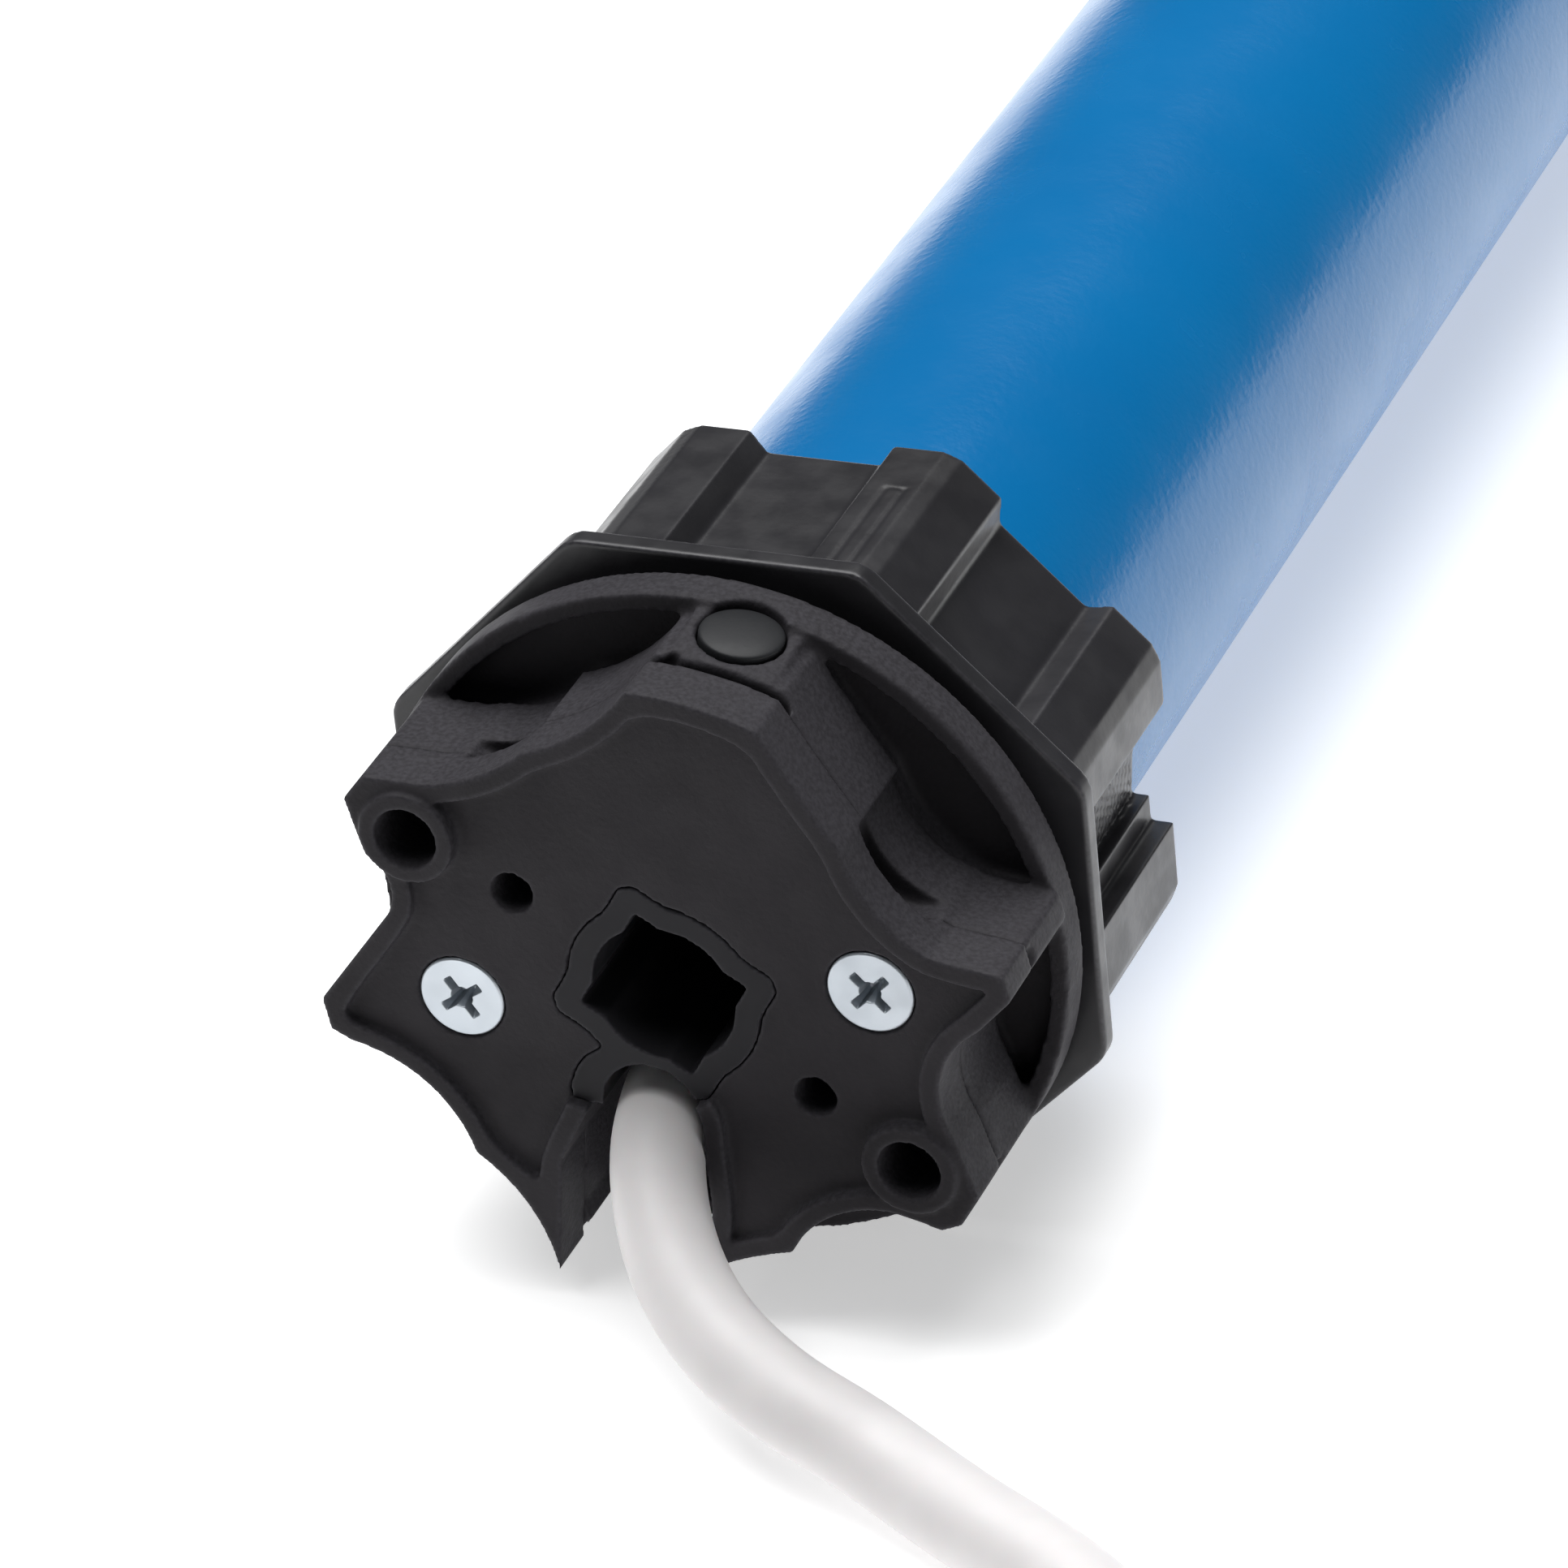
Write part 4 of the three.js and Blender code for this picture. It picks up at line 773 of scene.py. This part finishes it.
def wall_scallops():
    """Cutters for the walls behind the pockets, which start with a step where the lug's flank ends."""
    cutters = []
    for corner, middle, end, outside in LUG_WALLS:
        step = shortened(corner, SCALLOP_STEP)
        outline = [*arc(end, shortened(middle, SCALLOP_STEP), step), step, corner, outside]
        cutters.append(prism(outline, BODY_FRONT - 1, COLLAR["from"] + 1))
    return cutters


def lug_block():
    reach = LUG["back"] + 4
    sector = [Vector((0, LUG["inner"])), polar(reach, 90 - LUG["half"]), polar(reach, 90 + LUG["half"])]
    profile = [(0, LUG_FRONT), (LUG["front"], LUG_FRONT), (LUG["back"], COLLAR["to"]), (0, COLLAR["to"])]
    return common(prism(sector, LUG_FRONT, COLLAR["to"]), turned(profile, 160))


def on_button_axis(body):
    """The same solid, turned from the motor's axis to the button's own, which points out of the lug."""
    body.data.transform(Matrix.Translation((0, BUTTON["y"], 0)) @ Matrix.Rotation(math.radians(90), 4, "X"))
    return body


def make_head_body():
    """The star behind the cover, the hollow collar, the lug and the neck, with room for what they hold."""
    hollow = rod(COLLAR["r"] - COLLAR["rim"], COLLAR["from"] - 1, COLLAR["to"] - COLLAR["web"], segments=160)
    cut(hollow, prism(inset(star_outline(), HOLLOW["undercut"]), 0, 30), lug_block())
    collar = cut(rod(COLLAR["r"], COLLAR["from"], COLLAR["to"], segments=200), hollow)
    neck = rod(NECK["r"], COLLAR["to"] - OVERLAP, NECK["end"], segments=120)
    core = prism(inset(star_outline(), HOLLOW["undercut"]), BODY_FRONT, COLLAR["to"] - 1)
    star = prism(star_outline(), BODY_FRONT, COLLAR["from"] + HOLLOW["step"])
    body = join(star, core, collar, neck, lug_block())
    slit = block(both_ways(SLIT["half"]), (COVER_BACK - 1, LUG_FRONT), SLIT["z"])
    jog = block(JOG["x"], [LUG_FRONT + y for y in JOG["y"]], JOG["z"])
    notches = [rod(NOTCH_R, COVER_BACK - 1, LUG_FRONT, at) for at in NOTCHES]
    encoder_at = (0, ENCODER_ROOM["z"])
    cut(body, slit, jog, *notches, *crescent_pockets(), *wall_scallops(),
        prism(insert_outline(GAP), 0, INSERT["depth"] + GAP),
        prism(hook_outline(GAP), 0, HOOK["depth"] + GAP),
        channel(0, 30), way_out(0, COLLAR["from"]), rod(GLAND_ROOM["r"], *GLAND_ROOM["y"], CABLE_CENTRE),
        rod(NECK["hollow"], NECK["hollow_from"], NECK["end"] + 1),
        *pair(boss_centre, BOSS["hole"], 0, BOSS["depth"]),
        *pair(screw_centre, SCREW["shank"] + SCREW["shank_room"], 0, SCREW["length"] + 1.5),
        on_button_axis(rod(BUTTON["r"] + JOINT, BUTTON["top"] - 6, BUTTON["top"] + 4)),
        on_button_axis(rod(BUTTON_ROOM["r"], *BUTTON_ROOM["z"])),
        block(both_ways(SWITCH_ROOM["half"]), both_ways(SWITCH_ROOM["half"], BUTTON["y"]), SWITCH_ROOM["z"]),
        spun(rod(ENCODER_ROOM["gear"], *ENCODER_ROOM["y"], encoder_at), -HEAD_TURN),
        spun(rod(ENCODER_ROOM["magnet"], ENCODER_ROOM["y"][1] - 3, NECK["end"] + 1, encoder_at), -HEAD_TURN))
    # The walls get painted light, a paler colour than the front face.
    body = paint_wall_light(moulded("body", body, CELL["body"], HEAD_TURN))
    stand_for(body, "root", "head_plastic", "head_body")


def make_socket_insert():
    """The liner of the star socket, with its hook."""
    outer = join(prism(insert_outline(0), 0, INSERT["depth"]), prism(hook_outline(0), 0, HOOK["depth"]))
    cut(outer, prism(socket_outline(0), -1, SOCKET["depth"]), channel(-1, 30), way_out(-1, 30))
    insert = moulded("insert", outer, CELL["insert"], HEAD_TURN, 3)
    stand_for(insert, "root", "smooth_plastic", "socket_insert")


def make_head_screws():
    """Countersunk screws whose cross recess narrows towards its bottom."""
    head, shank, length = SCREW["head"], SCREW["shank"], SCREW["length"]
    profile = [(0, 0), (head - 0.15, 0), (head, 0.15), (head, SCREW["rim"]),
               (shank, SCREW["rim"] + SCREW["sink"]), (shank, length), (0, length)]
    x, z = CROSS["reach"], CROSS["half"]
    wing = [Vector((-x, -z)), Vector((x, -z)), Vector((x, z)), Vector((-x, z))]
    cone, bottom = CROSS["cone"], CROSS["cone_depth"]
    for side, hand in ((1, "right"), (-1, "left")):
        screw = turned(profile, 64)
        wings = [spun(prism(wing, -0.1, CROSS["depth"], CROSS["narrowing"]), 90 * k + CROSS[f"turn_{hand}"])
                 for k in range(2)]
        cut(screw, *wings, turned([(0, -0.1), (cone[0], -0.1), (cone[1], bottom), (0, bottom)], 32))
        name = f"head_screw_{hand}"
        screw = moulded(f"{name}_fine", shifted(screw, side * screw_centre), CELL["screw"], HEAD_TURN, 2)
        stand_for(screw, "root", "zinc", name)


def make_button():
    """A low dome in a ring groove, on a hidden flange."""
    r, top, rise = BUTTON["r"], BUTTON["top"], BUTTON["rise"]
    angles = [math.radians(a) for a in range(0, 90, 9)]
    dome = [(r * math.cos(t), top - rise + rise * math.sin(t)) for t in angles]
    profile = [(0, BUTTON["low"]), (BUTTON["flange"], BUTTON["low"]), (BUTTON["flange"], BUTTON["shoulder"]),
               (r, BUTTON["shoulder"]), *dome, (0, top)]
    button = moulded("button_dome", on_button_axis(turned(profile)), CELL["button"], HEAD_TURN, 2)
    stand_for(button, "button", "button", "set_button")


# ---------------------------------------------------------------- crown, tube and output end


def rounded_octagon(flats, corner):
    """An octagon whose corners are arcs of the given radius."""
    reach = (flats / 2 - corner) / math.cos(math.radians(22.5))
    angles = [(22.5 + 45 * k, t) for k in range(8) for t in range(6)]
    return [polar(reach, a) + polar(corner, a - 22.5 + 9 * t) for a, t in angles]


def tongue(angle, along):
    """Cutters for the shallow U-shaped groove round a narrow latch tongue, on a pad."""
    high = CROWN["pads"] / 2
    half, deep, front, rear = TONGUE["half"], TONGUE["deep"], *TONGUE["y"]
    pieces = []
    for z in both_ways(half, along):
        section = [Vector((high + 0.3, z - 0.1)), Vector((high - deep, z)), Vector((high + 0.3, z + 0.9))]
        pieces.append(prism(section, front, rear))
    bottom_of_u = (along - half, along + half + 0.4)
    pieces.append(block((high - deep / 2, high + 0.3), (rear - 0.4, rear), bottom_of_u))
    return [spun(piece, -angle) for piece in pieces]


def rough_patch():
    """The coarse floor of the pocket in the crown's right flat, as a slab with small pits and pimples."""
    step, rows, columns = PATCH["step"], PATCH["rows"], PATCH["columns"]
    y0, z0 = CROWN["flange"][1], PATCH["z"]
    points, faces = [], []
    for i in range(rows):
        for j in range(columns):
            y, z = y0 + i * step, z0 + j * step
            waves = PATCH["relief"] * math.sin(5.1 * y + 2.3 * z) * math.sin(4.3 * z - 1.7 * y)
            high = PATCH["floor"] + PATCH["tilt"] * (z - z0) + waves
            points += [(PATCH["under"], y, z), (high, y, z)]
    for i in range(rows - 1):
        for j in range(columns - 1):
            a, b = 2 * (i * columns + j), 2 * ((i + 1) * columns + j)
            faces += [(a, a + 2, b + 2, b), (a + 1, b + 1, b + 3, a + 3)]
    for i in range(rows - 1):
        for j in (0, columns - 1):
            a, b = 2 * (i * columns + j), 2 * ((i + 1) * columns + j)
            faces.append((a, a + 1, b + 1, b))
    for j in range(columns - 1):
        for i in (0, rows - 1):
            a = 2 * (i * columns + j)
            faces.append((a, a + 1, a + 3, a + 2))
    return mesh_object("rough_patch", points, faces)


def make_crown():
    """The crown, with a step and a rough pocket in its right flat. The rooms are for the running ring's
    keys."""
    y0, y1 = CROWN["flange"]
    end = CROWN["end"]
    flange = prism(rounded_octagon(CROWN["flats"], CORNER_R), y0, y1)
    body = prism(padded_octagon(CROWN["pads"], CROWN["recess"]), y1 - OVERLAP, end)
    join(body, block((RIGHT_STEP["x"], CROWN["pads"] / 2), (y1 - OVERLAP, end), RIGHT_STEP["z"]))
    pocket = [Vector(p) for p in ((30, -2.4), (24.9, -2.4), (25.4, 2.6), (28.5, 7.0), (30, 7.0))]
    cut(body, prism(pocket, y1 - 1, end + 1))
    join(body, flange, rough_patch())
    key_rooms = [spun(block(KEY_ROOM["x"], KEY_ROOM["y"], both_ways(KEY_ROOM["half"])), -angle)
                 for angle in KEY_ROOM["angles"]]
    tongues = [cutter for place in TONGUE["places"] for cutter in tongue(*place)]
    cut(body, rod(CROWN["bore"], 0, 60, segments=160), *key_rooms, *tongues)
    crown = polish(moulded("crown_ring", body, CELL["crown"], 0, 3))
    stand_for(crown, "crown", "smooth_plastic", "crown_adapter")


def make_tube():
    r, bore, chamfer = TUBE["r"], TUBE["bore"], TUBE["chamfer"]
    y0, y1 = TUBE["y"]
    profile = [(bore, y0), (r - chamfer, y0), (r, y0 + chamfer), (r, y1 - chamfer), (r - chamfer, y1),
               (bore, y1)]
    tube = finished("tube", turned(profile, 240))
    stand_for(tube, "root", "blue_coat", "motor_tube")
    shade_by_angle(tube)


def shade_by_angle(piece, degrees=30):
    piece.data.set_sharp_from_angle(angle=math.radians(degrees))


def make_drive_wheel():
    """A padded octagon on eight ribs and a thin web, with a square hole for the output shaft."""
    y0, y1 = WHEEL["y"]
    rim = cut(prism(padded_octagon(WHEEL["pads"], WHEEL["recess"]), y0, y1),
              rod(WHEEL["bore"], y0 - 1, y1 + 1, segments=120))
    ribs = [spun(block(RIB["x"], RIB["y"], both_ways(RIB["half"])), 22.5 + 45 * k) for k in range(8)]
    web = rod(WHEEL["web_r"], *WHEEL["web"], segments=96)
    wheel = join(rim, web, rod(WHEEL["hub"], y0, y1), *ribs)
    cut(wheel, block(both_ways(WHEEL["square"]), (y0 - 1, y1 + 1), both_ways(WHEEL["square"])))
    wheel = polish(moulded("wheel", wheel, CELL["wheel"]))
    stand_for(wheel, "output", "smooth_plastic", "drive_wheel")


# ---------------------------------------------------------------- stage

TABLE = {"half": 4.0, "z": -0.0002, "glow": 0.5}
SOFT_BOX = {"place": (-0.2, 0.0, 1.5), "size": (1.7, 1.5), "power": 42}
ROOM = {"colour": (0.9, 0.95, 1.0), "strength": 0.07}


def make_stage():
    """A light table: a plain floor that glows a little, which keeps the shadows weak."""
    half = TABLE["half"]
    corners = [(-half, -half, 0), (half, -half, 0), (half, half, 0), (-half, half, 0)]
    floor = mesh_object("floor", corners, [(0, 1, 2, 3)])
    floor.location.z = TABLE["z"]
    material, nodes, _ = new_material("floor")
    shader = nodes["Principled BSDF"]
    shader.inputs["Base Color"].default_value = (0.9, 0.9, 0.9, 1)
    shader.inputs["Roughness"].default_value = 0.9
    shader.inputs["Emission Color"].default_value = (1, 1, 1, 1)
    shader.inputs["Emission Strength"].default_value = TABLE["glow"]
    floor.data.materials.append(material)


def make_lights():
    """One large soft box high above the motor, a little to its left, in a dim room."""
    light = bpy.data.objects.new("top", bpy.data.lights.new("top", "AREA"))
    light.data.shape = "RECTANGLE"
    light.data.size, light.data.size_y = SOFT_BOX["size"]
    light.data.energy = SOFT_BOX["power"]
    light.location = SOFT_BOX["place"]
    direction = Vector((0, FACE_Y, AXIS_Z)) - Vector(SOFT_BOX["place"])
    light.rotation_euler = direction.to_track_quat("-Z", "Y").to_euler()
    bpy.context.scene.collection.objects.link(light)
    world = bpy.data.worlds.new("studio")
    world.use_nodes = True
    background = world.node_tree.nodes["Background"]
    background.inputs["Color"].default_value = (*ROOM["colour"], 1)
    background.inputs["Strength"].default_value = ROOM["strength"]
    bpy.context.scene.world = world
    bpy.context.scene.view_settings.view_transform = "Standard"


# ---------------------------------------------------------------- making

make_camera()
materials = make_materials()
make_cable()

for subpart in frame["record"]["subparts"]:
    node = frame["nodes"][subpart["node"]]
    node.data.materials.clear()
    node.data.materials.append(materials[subpart["material_slot"]])
    shade_by_angle(node)

make_head_cover()
make_head_body()
make_socket_insert()
make_head_screws()
make_button()
make_crown()
make_tube()
make_drive_wheel()

make_stage()
make_lights()
